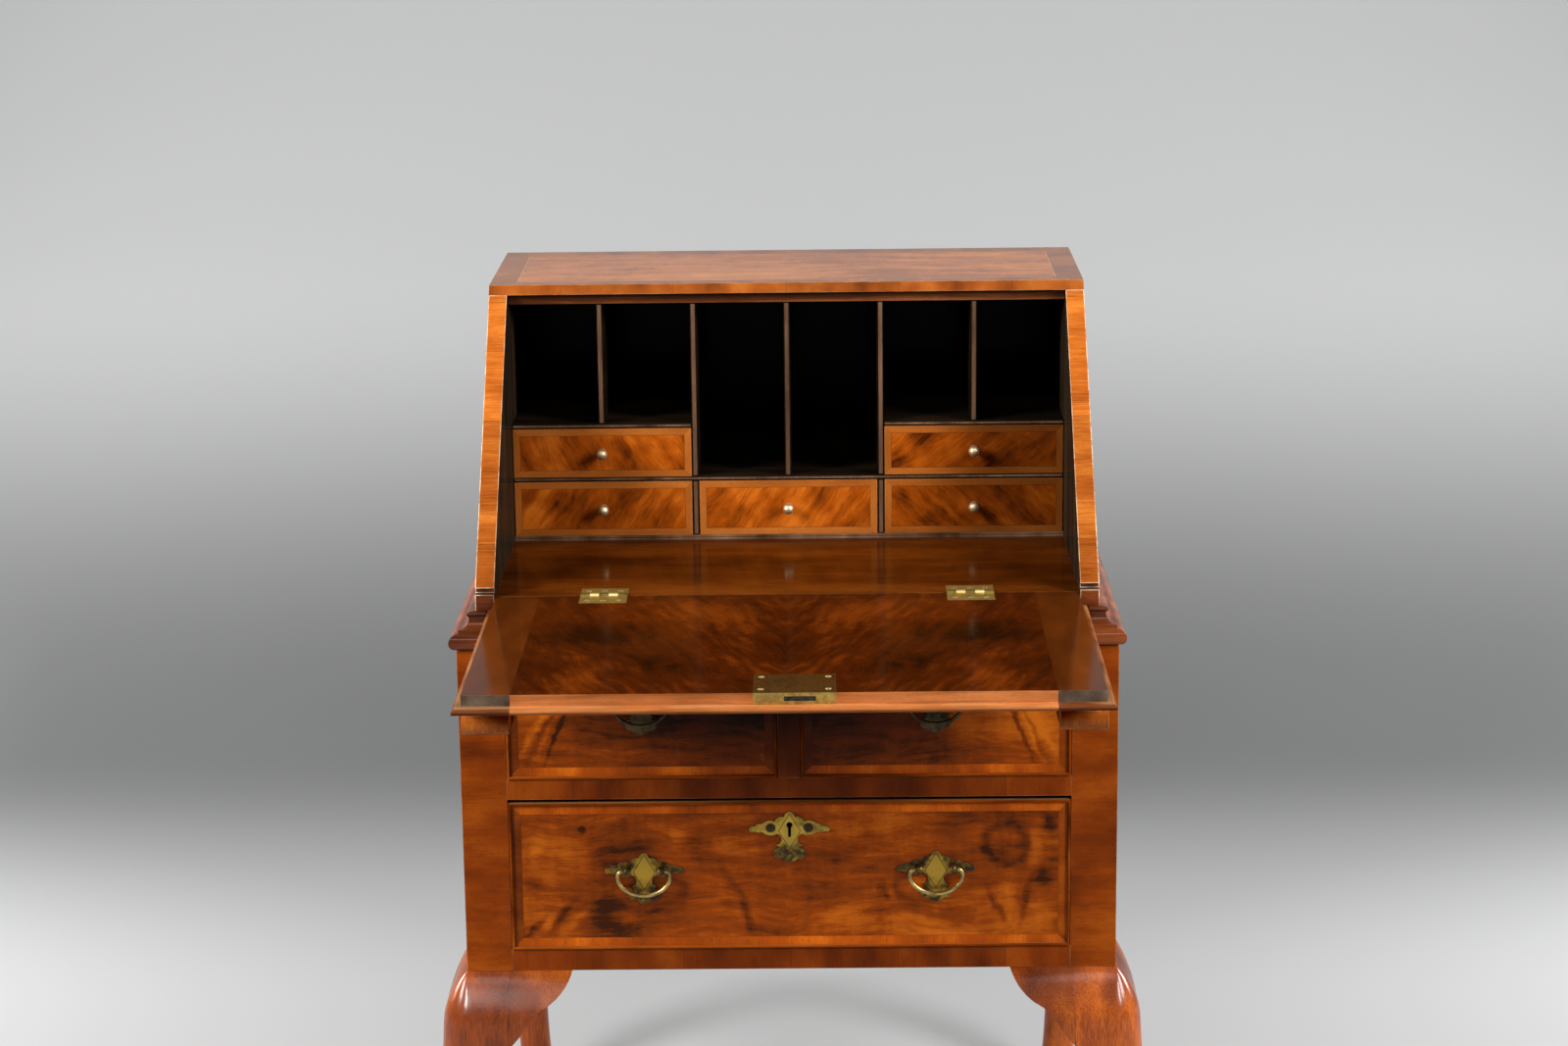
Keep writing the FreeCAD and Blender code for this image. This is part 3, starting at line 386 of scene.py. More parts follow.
def border(g, axes, low, high):
    """Distance from the panel's nearest edge, and whether that edge runs along the second axis."""
    at = g.split(g.place)
    gaps = []
    for axis, a, b in zip(axes, low, high):
        gaps.append(g.math("MINIMUM", g.math("SUBTRACT", at[axis], a), g.math("SUBTRACT", b, at[axis])))
    return g.math("MINIMUM", *gaps), g.math("LESS_THAN", *gaps)


def cloud(g, place, middle, size, turn, depth):
    """A soft patch of figure: depth below 0 darkens, above 0 lightens."""
    spot = g.mapped(place, (0, turn, 0), tuple(size), tuple(middle), "TEXTURE")
    return g.span(g.vector("LENGTH", spot), 0.0, 1.25, depth, 0.0)


def banded_panel(name, axes, low, high, band, field, band_colours, turns, gloss=0.7, wear=0.5, seed=1, line=0.0007,
                 line_share=0.45, line_colour=DARK_LINE, tones=(1.0, 1.0, 1.0, 1.0), coat=0.25, haze=None, cast=None):
    """A veneered panel: a field of figure inside a mitred cross-grain border and a thin line.

    tones lighten or darken the border at its low and high end of the first axis, then of the second.
    """
    g = Graph(name)
    colour, height = field(g)
    edge, sideways = border(g, axes, low, high)
    flat_band, _ = grain(g, g.place, turns[0], band_colours, seed + 3, bands=14.0, spread=0.3, fibre=0.3)
    upright_band, _ = grain(g, g.place, turns[1], band_colours, seed + 5, bands=14.0, spread=0.3, fibre=0.3)
    strip = g.mix(sideways, flat_band, upright_band)
    at = g.split(g.place)
    upper = [g.math("GREATER_THAN", at[axis], (a + b) / 2) for axis, a, b in zip(axes, low, high)]
    along = g.span(upper[0], 0.0, 1.0, tones[0], tones[1], smooth=False)
    across = g.span(upper[1], 0.0, 1.0, tones[2], tones[3], smooth=False)
    tone = g.span(sideways, 0.0, 1.0, across, along, smooth=False)
    strip = g.mix(1.0, strip, tone, "MULTIPLY")
    colour = g.mix(g.math("LESS_THAN", edge, band), colour, strip)
    near_line = g.span(g.math("ABSOLUTE", g.math("SUBTRACT", edge, band)), line * 0.4, line, line_share, 0.0)
    colour = g.mix(near_line, colour, line_colour)
    return finish_wood(g, colour, height, gloss, wear, coat=coat, haze=haze, cast=cast)


# Metals
def aged_brass(name, colour, dark, roughness, seed=0.0, shine=None, cuts=None):
    """Brass with tarnish in patches and in hollows. shine(g) gives what stays bright, cuts(g) engraved lines."""
    g = Graph(name)
    tarnish = g.noise(g.mapped(g.place, shift=(seed, seed, seed)), 170.0, detail=5.0, roughness=0.65)
    broad = g.noise(g.place, 38.0, detail=2.0)
    share = g.math("ADD", g.math("MULTIPLY", tarnish, 0.7), g.math("MULTIPLY", broad, 0.5))
    if shine is not None:
        share = g.math("SUBTRACT", share, shine(g))
    tone = g.mix(g.span(share, 0.42, 0.80), colour, dark)
    hollow = g.add("ShaderNodeAmbientOcclusion", samples=6)
    hollow.inputs["Distance"].default_value = 4 * MM
    tone = g.mix(g.span(hollow.outputs["AO"], 0.2, 0.75, 0.6, 0.0), tone, dark)
    rubbed = g.math("MULTIPLY", g.attribute("wear"), g.span(tarnish, 0.35, 0.6))
    tone = g.mix(rubbed, tone, (0.95, 0.80, 0.52, 1))
    height = g.noise(g.mapped(g.place, scale=(900, 900, 140)), detail=2.0)
    if cuts is not None:
        lines = cuts(g)
        tone = g.mix(g.math("MULTIPLY", lines, 0.8), tone, dark)
        height = g.math("MULTIPLY_ADD", lines, -4.0, height)
    g.paint(tone)
    g.shader.inputs["Metallic"].default_value = 1.0
    g.bump(height, 0.00006, 0.3)
    g.polish(g.span(share, 0.3, 0.85, roughness, roughness + 0.22))
    return g.material


def seen(tree):
    """1 for what the camera sees, straight, through glass or in a mirror, and 0 for what lights the desk."""
    rays = tree.nodes.new("ShaderNodeLightPath")
    share = rays.outputs["Is Camera Ray"]
    for kind in ("Is Glossy Ray", "Is Transmission Ray"):
        either = tree.nodes.new("ShaderNodeMath")
        either.operation = "MAXIMUM"
        tree.links.new(share, either.inputs[0])
        tree.links.new(rays.outputs[kind], either.inputs[1])
        share = either.outputs[0]
    return share


def grey_ground():
    """Pale floor round the desk, with painted shade behind it at the backdrop's foot and beside it, and pale again up
    the backdrop.

    The backdrop has no back: from behind, the desk is seen through it.
    """
    g = Graph("pale_ground")
    at = g.split(g.place)
    # Painted shade on the ground: darker behind the desk and to its sides
    tone = g.mix(g.span(at["Y"], 0.65, 1.75), FLOOR, FAR_FLOOR_SHADE)
    beside = g.math("MULTIPLY", g.span(g.math("ABSOLUTE", at["X"]), 1.25, 1.9), g.span(at["Z"], 0.02, 0.2, 1.0, 0.0))
    tone = g.mix(beside, tone, SIDE_FLOOR_SHADE)
    tone = g.mix(g.span(at["Z"], 0.0, 0.62), tone, BACKDROP)
    clouds = g.noise(g.place, 0.8, detail=3.0)
    g.paint(g.mix(g.math("MULTIPLY", clouds, 0.10), tone, BACKDROP))
    g.polish(0.9, specular=0.1)
    far = g.vector("LENGTH", g.mapped(g.place, scale=(1, 1, 0)))
    g.feed(g.shader.inputs["Emission Color"], BACKDROP)
    g.feed(g.shader.inputs["Emission Strength"], g.math("MULTIPLY", g.span(far, 3.6, 4.8), seen(g.tree)))
    front = g.add("ShaderNodeMixShader")
    g.feed(front.inputs[0], g.add("ShaderNodeNewGeometry").outputs["Backfacing"])
    g.feed(front.inputs[1], g.shader.outputs["BSDF"])
    g.feed(front.inputs[2], g.add("ShaderNodeBsdfTransparent").outputs["BSDF"])
    g.feed(g.output.inputs["Surface"], front.outputs["Shader"])
    return g.material


def solids_of(mesh):
    """The mesh's triangles grouped into its separate solids, each as points and faces."""
    points, index = [], {}
    corner = []
    for vertex in mesh.vertices:
        key = tuple(round(value * 1e6) for value in vertex.co)
        if key not in index:
            index[key] = len(points)
            points.append(vertex.co.copy())
        corner.append(index[key])
    faces = [[corner[v] for v in polygon.vertices] for polygon in mesh.polygons]
    faces = [face for face in faces if len(set(face)) == len(face)]
    users = {}
    for number, face in enumerate(faces):
        for a, b in zip(face, face[1:] + face[:1]):
            users.setdefault((min(a, b), max(a, b)), []).append(number)
    root = list(range(len(faces)))

    def find(number):
        while root[number] != number:
            root[number] = root[root[number]]
            number = root[number]
        return number

    for numbers in users.values():
        if len(numbers) == 2:
            root[find(numbers[0])] = find(numbers[1])
    groups = {}
    for number, face in enumerate(faces):
        groups.setdefault(find(number), []).append(face)
    return points, list(groups.values())


def dressed(node, materials, choose, round_by=0.0, sharp=35.0, flatten=True, worn=None, arris=-1):
    """A copy of a node with its arrises rounded. choose(centre, normal) gives each face its material, arris the
    number of the arrises' own material, and worn(centre) how far an arris is rubbed, fully where it isn't given."""
    source = frame["nodes"][node]
    points, groups = solids_of(source.data)
    made = bmesh.new()
    wear = made.faces.layers.float.new("wear")
    for faces in groups:
        used = {}
        for face in faces:
            corners = []
            for number in face:
                if number not in used:
                    used[number] = made.verts.new(points[number])
                corners.append(used[number])
            try:
                made.faces.new(corners)
            except ValueError:
                continue
    made.normal_update()
    if flatten:
        bmesh.ops.dissolve_limit(made, angle_limit=math.radians(0.5), verts=made.verts, edges=made.edges)
    made.normal_update()
    for face in made.faces:
        face.material_index = materials.index(choose(face.calc_center_median(), face.normal))
    limit = math.radians(sharp)
    if round_by:
        edges = [e for e in made.edges if len(e.link_faces) == 2 and e.calc_face_angle(0.0) > limit]
        cut = bmesh.ops.bevel(
            made, geom=edges, offset=round_by, segments=2, profile=0.6, affect="EDGES",
            clamp_overlap=True, loop_slide=True, material=arris,
        )
        for face in cut["faces"]:
            face[wear] = worn(face.calc_center_median()) if worn else 1.0
            face.smooth = True
    for face in made.faces:
        face.smooth = face.smooth or not flatten
    for edge in made.edges:
        edge.smooth = not (len(edge.link_faces) == 2 and edge.calc_face_angle(0.0) > limit)
    mesh = bpy.data.meshes.new(node + "_dressed")
    made.to_mesh(mesh)
    made.free()
    for material in materials:
        mesh.materials.append(material)
    piece = bpy.data.objects.new(node + "_dressed", mesh)
    bpy.context.scene.collection.objects.link(piece)
    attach(piece, source["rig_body"])
    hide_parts(node)
    return piece


def dress_all(names, material, **settings):
    for name in names:
        dressed(name, [material], lambda centre, normal: material, **settings)


def faces_front(normal):
    return normal.y < -0.7


def flat(box_low, box_high, axes):
    letters = "XYZ"
    return [box_low[letters.index(a)] for a in axes], [box_high[letters.index(a)] for a in axes]


def painted_fall_shadow(g):
    """A painted shadow of the fall: a tone that is deep in the middle of the case front, high up, where the fall hangs
    over it.
    """
    low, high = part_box("upper_left_drawer_front")
    spot = g.mapped(g.place, (0, 0, 0), (0.27, 1.0, 0.15), (0.0, low.y, high.z + 0.004), "TEXTURE")
    wandering = g.warped(spot, 1.6, 0.3)
    return g.span(g.vector("LENGTH", wandering), 0.2, 1.15, 0.09, 1.0)


# Case
oak = plain_wood("oak_boards", OAK, ALONG_X, seed=4, gloss=0.1, wear=0.2, bands=70.0, spread=0.9, mottle=0.4)
oak_deep = plain_wood("oak_lining", OAK, ALONG_Y, seed=6, gloss=0.1, wear=0.2, bands=70.0, spread=0.9, mottle=0.4)
stile_wood = plain_wood("stile_walnut", STILE, ALONG_X, seed=2, gloss=0.65, bands=12.0, spread=0.7, wear=0.35,
                        fibre=0.6, mottle=1.8)
# The rails take the painted shadow of the fall in the middle of the case front
rail_wood = cross_band("rail_walnut", RAIL, "X", ALONG_Z, 0.118, seed=5, gloss=0.6, wear=0.3, fibre=0.25, bands=9.0,
                       cast=painted_fall_shadow)
edge_wood = cross_band("edge_walnut", ORANGE, "Z", ALONG_X, 0.115, seed=3, gloss=0.7, wear=0.95, pale=WORN_PALE,
                       fibre=1.5)
brow_wood = cross_band("brow_walnut", BROW, "X", ALONG_Z, 0.128, seed=8, gloss=0.7, wear=0.7)
moulding_wood = plain_wood("moulding_walnut", MOULDED, ALONG_X, seed=7, gloss=0.85, wear=1.0, pale=WORN_PALE, coat=0.7)
# The lopers' moulding is painted lighter, painted light against the fall's shadow over it
loper_wood_painted_light = plain_wood("loper_walnut_painted_light", LOPER, ALONG_Z, seed=13, gloss=0.8, wear=1.0, pale=WORN_PALE, coat=0.4)
bar_wood = plain_wood("bar_walnut", SIDE_BAND, ALONG_Y, seed=14, gloss=0.3, wear=0.6)
side_wood = plain_wood("side_walnut", SIDE_BAND, ALONG_Z, seed=2, gloss=0.65, bands=12.0, wear=0.35, fibre=0.6)
leg_wood = plain_wood("leg_walnut", LEG, ALONG_Z, seed=9, gloss=0.4, bands=12.0, wear=0.5, coat=2.0, haze=0.21)
bracket_wood = plain_wood("bracket_walnut", BRACKET, ALONG_Z, seed=9, gloss=0.4, bands=12.0, wear=0.5, coat=2.0,
                          haze=0.21)
dark_wood = plain_wood("stained_walnut_and_painted_shade", STAINED_AND_SHADE, ALONG_X, seed=3, gloss=0.3, wear=0.0)
lip_wood = plain_wood("partition_edge_walnut", RUBBED, ALONG_Z, seed=3, gloss=0.4, wear=0.25)
cheek_wood = plain_wood("cheek_walnut", CHEEK, ALONG_Z, seed=5, gloss=0.6, wear=0.2)
under_top_wood = plain_wood("under_top_walnut", UNDER_TOP, ALONG_X, seed=15, gloss=0.5, wear=0.6, bands=90.0,
                            spread=1.2)
bed_wood = plain_wood("bed_walnut", BED, ALONG_X, seed=11, gloss=0.95, bands=12.0, wear=0.4, coat=0.45, haze=0.13)


def close_to_legs(mesh):
    """Moves the brackets' heels over the glue line to the legs."""
    middle = (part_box("case_bottom")[0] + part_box("case_bottom")[1]) / 2
    heels = {}
    for face in mesh.polygons:
        for axis in (0, 1):
            away = math.copysign(1.0, face.center[axis] - middle[axis])
            if face.normal[axis] * away > 0.95:
                heels.update({(number, axis): away for number in face.vertices})
    for (number, axis), away in heels.items():
        mesh.vertices[number].co[axis] += away * GLUE_LINE


def dress_case():
    def frame_choice(centre, normal):
        if abs(normal.x) > 0.7 and abs(centre.x) > outside - SAME_FACE:
            return side_wood
        if not faces_front(normal) and normal.z > -0.7:
            return oak
        return stile_wood if abs(centre.x) > stile_edge else rail_wood

    stile_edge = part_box("long_drawer_front")[1].x
    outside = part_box("case_front_frame")[1].x
    dressed("case_front_frame", [stile_wood, rail_wood, side_wood, oak], frame_choice, round_by=CASE_ARRIS)
    for side, name in ((-1, "case_left_side"), (1, "case_right_side")):
        low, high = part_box(name)
        a, b = flat(low, high, "YZ")

        def figure(g):
            return burr(g, g.mapped(g.place, scale=(1, 1, 0.45)), SIDE_WALNUT, 3 + side, size=8.0, level=0.5)

        panel = banded_panel(name + "_veneer", "YZ", a, b, CASE_BORDER, figure, SIDE_BAND, (ALONG_Z, ALONG_Y),
                             seed=4 + side)
        dressed(name, [panel, oak], lambda c, n: panel if n.x * side > 0.5 else oak, round_by=CASE_ARRIS)
    dress_all(["case_back", "case_bottom", "dust_board", "case_top", "drawer_guides", "waist_frame"], oak,
              round_by=BOARD_ARRIS)
    dress_all(["front_legs", "back_legs"], leg_wood, flatten=False, sharp=CARVED_TURN)
    brackets = dressed("leg_brackets", [bracket_wood], lambda c, n: bracket_wood, flatten=False, sharp=CARVED_TURN)
    close_to_legs(brackets.data)
    for name in ("front_legs", "back_legs", "leg_brackets"):
        even = bpy.data.objects[name + "_dressed"].modifiers.new("even_shine", "WEIGHTED_NORMAL")
        even.keep_sharp = True
    dress_all(["waist_moulding_front", "waist_moulding_left", "waist_moulding_right"], moulding_wood, flatten=False,
              sharp=MOULDED_TURN, round_by=MOULDING_ARRIS)
    for name in ("left_loper", "right_loper"):
        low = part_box(name)[0]
        face = low.y + LOPER_MOULDING
        piece = dressed(name, [loper_wood_painted_light, bar_wood], lambda c, n: loper_wood_painted_light if c.y < face else bar_wood,
                        flatten=False, sharp=MOULDED_TURN, round_by=MOULDING_ARRIS)
        for vertex in piece.data.vertices:
            vertex.co.z = max(vertex.co.z, low.z + SLIDE_GAP)


# Desk
def dress_desk():
    for side, name in ((-1, "desk_left_side"), (1, "desk_right_side")):
        low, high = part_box(name)
        a, b = flat(low, high, "YZ")

        def figure(g):
            return burr(g, g.mapped(g.place, scale=(1, 0.6, 1)), SIDE_WALNUT, 7 + side, size=9.0, level=0.52)

        panel = banded_panel(name + "_veneer", "YZ", a, b, SLOPE_BORDER, figure, SIDE_BAND, (ALONG_Z, ALONG_Y),
                             seed=6 + side)

        def choose(centre, normal):
            if normal.y < -0.3:
                return edge_wood if normal.z > 0.3 else moulding_wood
            return panel if normal.x * side > 0.5 or normal.y > 0.5 else cheek_wood

        outer = max(abs(low.x), abs(high.x)) - 1.5 * MM
        dressed(name, [panel, edge_wood, moulding_wood, cheek_wood], choose, round_by=SIDE_ARRIS,
                worn=lambda c: 1.0 if abs(c.x) > outer else 0.7)
    low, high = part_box("desk_top")
    a, b = flat(low, high, "XY")

    def top_figure(g):
        return flame(g, g.mapped(g.place, scale=(0.6, 0.6, 0.6)), ROSY, 12, level=0.52, contrast=0.85)

    top = banded_panel("top_veneer", "XY", a, b, TOP_BORDER, top_figure, ROSY, (ALONG_Y, ALONG_X), gloss=0.55,
                       seed=12, line_colour=WORN, tones=(0.75, 0.75, 0.85, 0.7), coat=1.45)

    def top_choice(centre, normal):
        if normal.y < -0.3:
            return brow_wood
        return top if normal.z > 0.5 else (lip_wood if normal.z < -0.5 else brow_wood)

    dressed("desk_top", [top, brow_wood, lip_wood], top_choice, round_by=TOP_ARRIS)
    dress_all(["writing_bed"], bed_wood, round_by=BED_ARRIS)
    dress_all(["pigeonhole_base"], lip_wood, round_by=BOARD_ARRIS)
    # The lock rail's rounded arrises take the dark stained wood: painted shade along them
    dressed("lock_rail", [under_top_wood, dark_wood], lambda c, n: under_top_wood if faces_front(n) else dark_wood,
            round_by=RAIL_ARRIS, arris=1)
    dressed("desk_back", [dark_wood, oak], lambda c, n: oak if n.y > 0.5 else dark_wood)
    # The pigeonholes' rounded front arrises take the dark stained wood: painted shade that makes the edges look
    # thinner
    for name in ("pigeonhole_shelves", "pigeonhole_partitions"):
        dressed(name, [dark_wood, lip_wood], lambda c, n: lip_wood if faces_front(n) else dark_wood,
                round_by=PIGEONHOLE_ARRIS, arris=0)


# Fall
def fall_edge_wood(half_body, lip_top):
    """The fall's edges: straight-grained along its front, with the end grain of the two cleats at its corners, a
    painted shade under its lip, and over it a pale line along the ledge that is partly rubbed wear and partly a
    painted highlight."""
    g = Graph("fall_edge_walnut")
    front, height = grain(g, g.place, ALONG_X, FALL_EDGE, 31, bands=120.0, spread=0.9, mottle=1.3)
    ends, _ = grain(g, g.place, ALONG_Y, END_GRAIN, 33, bands=60.0)
    at = g.split(g.place)
    out = g.math("ABSOLUTE", at["X"])
    at_end = g.math("GREATER_THAN", out, half_body - CLEAT_WIDTH)
    over_lip = g.math("GREATER_THAN", at["Z"], lip_top)
    lip_ends, _ = grain(g, g.place, ALONG_X, LIP_END, 35)
    colour = g.mix(at_end, front, g.mix(over_lip, lip_ends, ends))
    # Painted shade: the lip darkens towards its underside
    under = g.span(at["Z"], lip_top - 5.5 * MM, lip_top - 2.5 * MM, 0.3, 1.0)
    colour = g.mix(1.0, colour, under, "MULTIPLY")
    # A pale line along the ledge: rubbed wear and a painted highlight
    ledge = g.span(g.math("ABSOLUTE", g.math("SUBTRACT", at["Z"], lip_top)), 0.3 * MM, 1.1 * MM, 0.35, 0.0)
    rubbed = g.math("MULTIPLY", ledge, g.span(g.noise(g.mapped(g.place, scale=(9, 9, 300))), 0.4, 0.65))
    colour = g.mix(rubbed, colour, WORN)
    return finish_wood(g, colour, height, 0.6, 0.35, WORN_PALE)


def dress_fall():
    low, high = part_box("fall_panel")
    half_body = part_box("desk_right_side")[0].x
    a, b = [-half_body, low.y - 1.0], [half_body, high.y + 1.0]

    def inside_figure(g):
        folded = g.vector("ABSOLUTE", g.place)
        fanned = g.mapped(g.warped(folded, 9.0, 0.03), (0, 0, 1.25), (1, 1, 1))
        moved = g.warped(folded, 11.0, 0.06)
        patches = (
            ((0.20, 0.235, high.z), (0.11, 0.07, 0.2), -0.40),
            ((0.13, 0.35, high.z), (0.07, 0.09, 0.2), -0.25),
            ((0.27, 0.38, high.z), (0.06, 0.12, 0.2), -0.30),
            ((0.0, 0.27, high.z), (0.15, 0.12, 0.2), -0.32),
            ((0.13, 0.14, high.z), (0.10, 0.06, 0.2), 0.22),
            ((0.05, 0.30, high.z), (0.07, 0.14, 0.2), 0.12),
            ((0.22, 0.40, high.z), (0.05, 0.06, 0.2), 0.16),
        )
        shades = g.total([cloud(g, moved, middle, size, 0.0, depth) for middle, size, depth in patches])
        return flame(g, fanned, DEEP, 21, level=0.56, shades=shades, contrast=0.95)

    def outside_figure(g):
        folded = g.vector("ABSOLUTE", g.place)
        return burr(g, folded, WALNUT, 23, size=8.0, level=0.5)

    inside = banded_panel("fall_inside_veneer", "XY", a, b, CLEAT_WIDTH, inside_figure, CLEAT, (ALONG_Y, ALONG_Y),
                          gloss=1.0, seed=21, line_share=0.25, coat=0.45, haze=0.13)
    outside = banded_panel("fall_outside_veneer", "XY", [low.x, low.y], [high.x, high.y], FALL_BORDER, outside_figure,
                           STILE, (ALONG_Y, ALONG_X), gloss=0.8, seed=25)
    lip = fall_edge_wood(half_body, low.z + LIP_LEDGE)

    def choose(centre, normal):
        if normal.z > 0.9 and centre.z > high.z - SAME_FACE:
            return inside
        return outside if normal.z < -0.9 and centre.z < low.z + SAME_FACE else lip

    dressed("fall_panel", [inside, outside, lip], choose, round_by=FALL_ARRIS)


# Drawers
# Patches of figure on a drawer front: place from the front's middle, half sizes, turn, and how dark or light
LONG_CLOUDS = (
    ((-0.257, 0.012), (0.040, 0.050), 0.10, 0.26),
    ((-0.275, 0.030), (0.010, 0.030), 0.30, 0.22),
    ((-0.228, 0.054), (0.005, 0.005), 0.0, -0.90),
    ((-0.280, -0.004), (0.012, 0.016), 0.0, -0.28),
    ((-0.182, 0.036), (0.050, 0.034), 0.10, -0.42),
    ((-0.206, 0.020), (0.022, 0.030), 0.0, -0.20),
    ((-0.160, -0.010), (0.060, 0.030), 0.0, -0.22),
    ((-0.205, -0.046), (0.024, 0.036), 0.60, -0.62),
    ((-0.180, -0.060), (0.030, 0.016), 0.0, -0.30),
    ((-0.232, -0.048), (0.008, 0.034), 0.76, 0.42),
    ((-0.250, -0.046), (0.006, 0.030), 0.60, -0.50),
    ((-0.282, -0.060), (0.005, 0.020), 0.75, -0.45),
    ((-0.268, -0.056), (0.006, 0.020), 0.70, 0.30),
    ((-0.101, 0.038), (0.024, 0.022), 0.30, -0.34),
    ((-0.124, 0.044), (0.014, 0.016), 0.0, 0.26),
    ((-0.066, -0.006), (0.007, 0.030), -0.50, -0.34),
    ((-0.047, -0.046), (0.006, 0.030), -0.30, -0.46),
    ((-0.095, -0.054), (0.060, 0.018), 0.0, 0.28),
    ((-0.060, 0.034), (0.040, 0.016), 0.0, 0.20),
    ((0.020, -0.040), (0.060, 0.020), 0.10, 0.16),
    ((0.105, -0.016), (0.009, 0.016), -0.30, -0.40),
    ((0.114, -0.022), (0.006, 0.012), -0.40, 0.34),
    ((0.194, -0.055), (0.050, 0.016), 0.0, -0.34),
    ((0.108, -0.044), (0.040, 0.010), -0.10, -0.24),
    ((0.130, 0.046), (0.060, 0.020), 0.05, -0.16),
    ((0.234, 0.034), (0.026, 0.026), 0.0, -0.26),
    ((0.267, 0.026), (0.010, 0.040), 0.0, 0.36),
    ((0.283, 0.058), (0.011, 0.010), 0.0, -0.62),
    ((0.278, -0.008), (0.016, 0.013), 0.0, -0.74),
    ((0.226, -0.036), (0.005, 0.034), -0.46, -0.46),
    ((0.258, -0.034), (0.006, 0.034), 0.28, -0.46),
    ((0.240, -0.030), (0.012, 0.034), -0.10, 0.30),
    ((0.276, -0.048), (0.018, 0.022), 0.0, 0.26),
)
UPPER_FIGURE_AND_SHADE = (
    ((-0.108, 0.000), (0.005, 0.080), 0.55, 0.40),
    ((-0.098, 0.000), (0.004, 0.075), 0.50, -0.34),
    ((-0.088, -0.006), (0.004, 0.060), 0.42, -0.70),
    ((-0.094, 0.004), (0.004, 0.070), 0.42, 0.34),
    ((-0.118, -0.010), (0.030, 0.060), 0.30, 0.16),
    # The last two patches are painted shade: one beside the handle, and one towards the divider under the fall
    ((0.020, -0.010), (0.040, 0.060), 0.4, -0.34),
    ((0.110, 0.030), (0.080, 0.060), 0.0, -0.24),
)
# The round knot near the long drawer's right end: its place, half sizes and depth
KNOT = ((0.235, 0.034), (0.0255, 0.0260), -0.22)


def knot_ring(g, place, middle, size, depth):
    """A knot's dark rim, soft on both sides."""
    spot = g.mapped(place, (0, 0, 0), tuple(size), tuple(middle), "TEXTURE")
    off = g.math("ABSOLUTE", g.math("SUBTRACT", g.vector("LENGTH", spot), 0.9))
    return g.span(off, 0.0, 0.34, depth, 0.0)


def drawer_material(name, clouds, mirror, seed, cast):
    """Flamed veneer with its patches of figure, inside a cross-grain border. mirror is -1 for the mirrored figure."""
    low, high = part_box(name)
    a, b = flat(low, high, "XZ")
    middle = (low + high) / 2

    def figure(g):
        moved = g.warped(g.warped(g.place, 20.0, 0.016), 90.0, 0.010, detail=4.0)
        parts = []
        for (x, z), (wide, tall), turn, depth in clouds:
            centre = (middle.x + mirror * x, low.y, middle.z + z)
            parts.append(cloud(g, moved, centre, (wide, 1.0, tall), mirror * turn, 0.62 * depth))
        if clouds is LONG_CLOUDS:
            (x, z), (wide, tall), depth = KNOT
            parts.append(knot_ring(g, moved, (middle.x + x, low.y, middle.z + z), (wide, 1.0, tall), depth))
        return flame(g, g.place, WALNUT, seed, level=0.50, shades=g.total(parts))

    # The border's tones paint light and shade onto its flat face: darker at its left, lighter at its bottom and top
    return banded_panel(name + "_veneer", "XZ", a, b, DRAWER_BORDER, figure, WALNUT, (ALONG_Z, ALONG_X),
                        gloss=0.7, wear=0.55, seed=seed, line_share=0.22, tones=(0.60, 0.98, 1.65, 1.55), cast=cast)


def dress_drawers():
    # The cock beads take the painted shadow of the fall in the middle of the case front
    bead_wood = plain_wood("cock_bead_walnut", STILE, ALONG_X, seed=17, gloss=0.3, wear=0.7, coat=0.1,
                           cast=painted_fall_shadow)
    for name, clouds, mirror, seed in (
        ("long_drawer", LONG_CLOUDS, 1, 31),
        ("upper_left_drawer", UPPER_FIGURE_AND_SHADE, 1, 37),
        ("upper_right_drawer", UPPER_FIGURE_AND_SHADE, -1, 41),
    ):
        # The upper drawer fronts take the painted shadow of the fall
        cast = None if clouds is LONG_CLOUDS else painted_fall_shadow
        veneer = drawer_material(name + "_front", clouds, mirror, seed, cast)
        board_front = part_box(name + "_front")[0].y + BEAD_RISE

        def choose(centre, normal):
            if centre.y > board_front + SAME_FACE:
                return oak
            return veneer if centre.y > board_front - 0.3 * MM else bead_wood

        dressed(name + "_front", [veneer, bead_wood, oak], choose)
        dress_all([name + "_box"], oak_deep, round_by=DRAWER_ARRIS)


def dress_inner_drawers():
    figures = {"upper_left": (0.5, 0.46), "upper_right": (-0.9, 0.38), "lower_left": (-0.6, 0.46),
               "lower_middle": (-0.65, 0.50), "lower_right": (0.8, 0.42)}
    for seed, (place, (tilt, level)) in enumerate(figures.items()):
        name = "inner_" + place + "_drawer"
        low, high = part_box(name)
        a, b = flat(low, high, "XZ")

        def figure(g):
            return stripes(g, g.place, GOLDEN, 3 + seed, tilt, level)

        def darker_end(g):
            return g.span(g.split(g.place)["X"], 0.15, 0.24, 1.0, 0.56)

        veneer = banded_panel(name + "_veneer", "XZ", a, b, SMALL_DRAWER_BORDER, figure, PALE_BAND, (ALONG_X, ALONG_Z),
                              gloss=0.5, wear=0.3, seed=seed, line=0.0005, cast=darker_end)
        dressed(name, [veneer, oak_deep], lambda c, n: veneer if c.y < low.y + SMALL_DRAWER_FRONT else oak_deep,
                round_by=DRAWER_ARRIS)


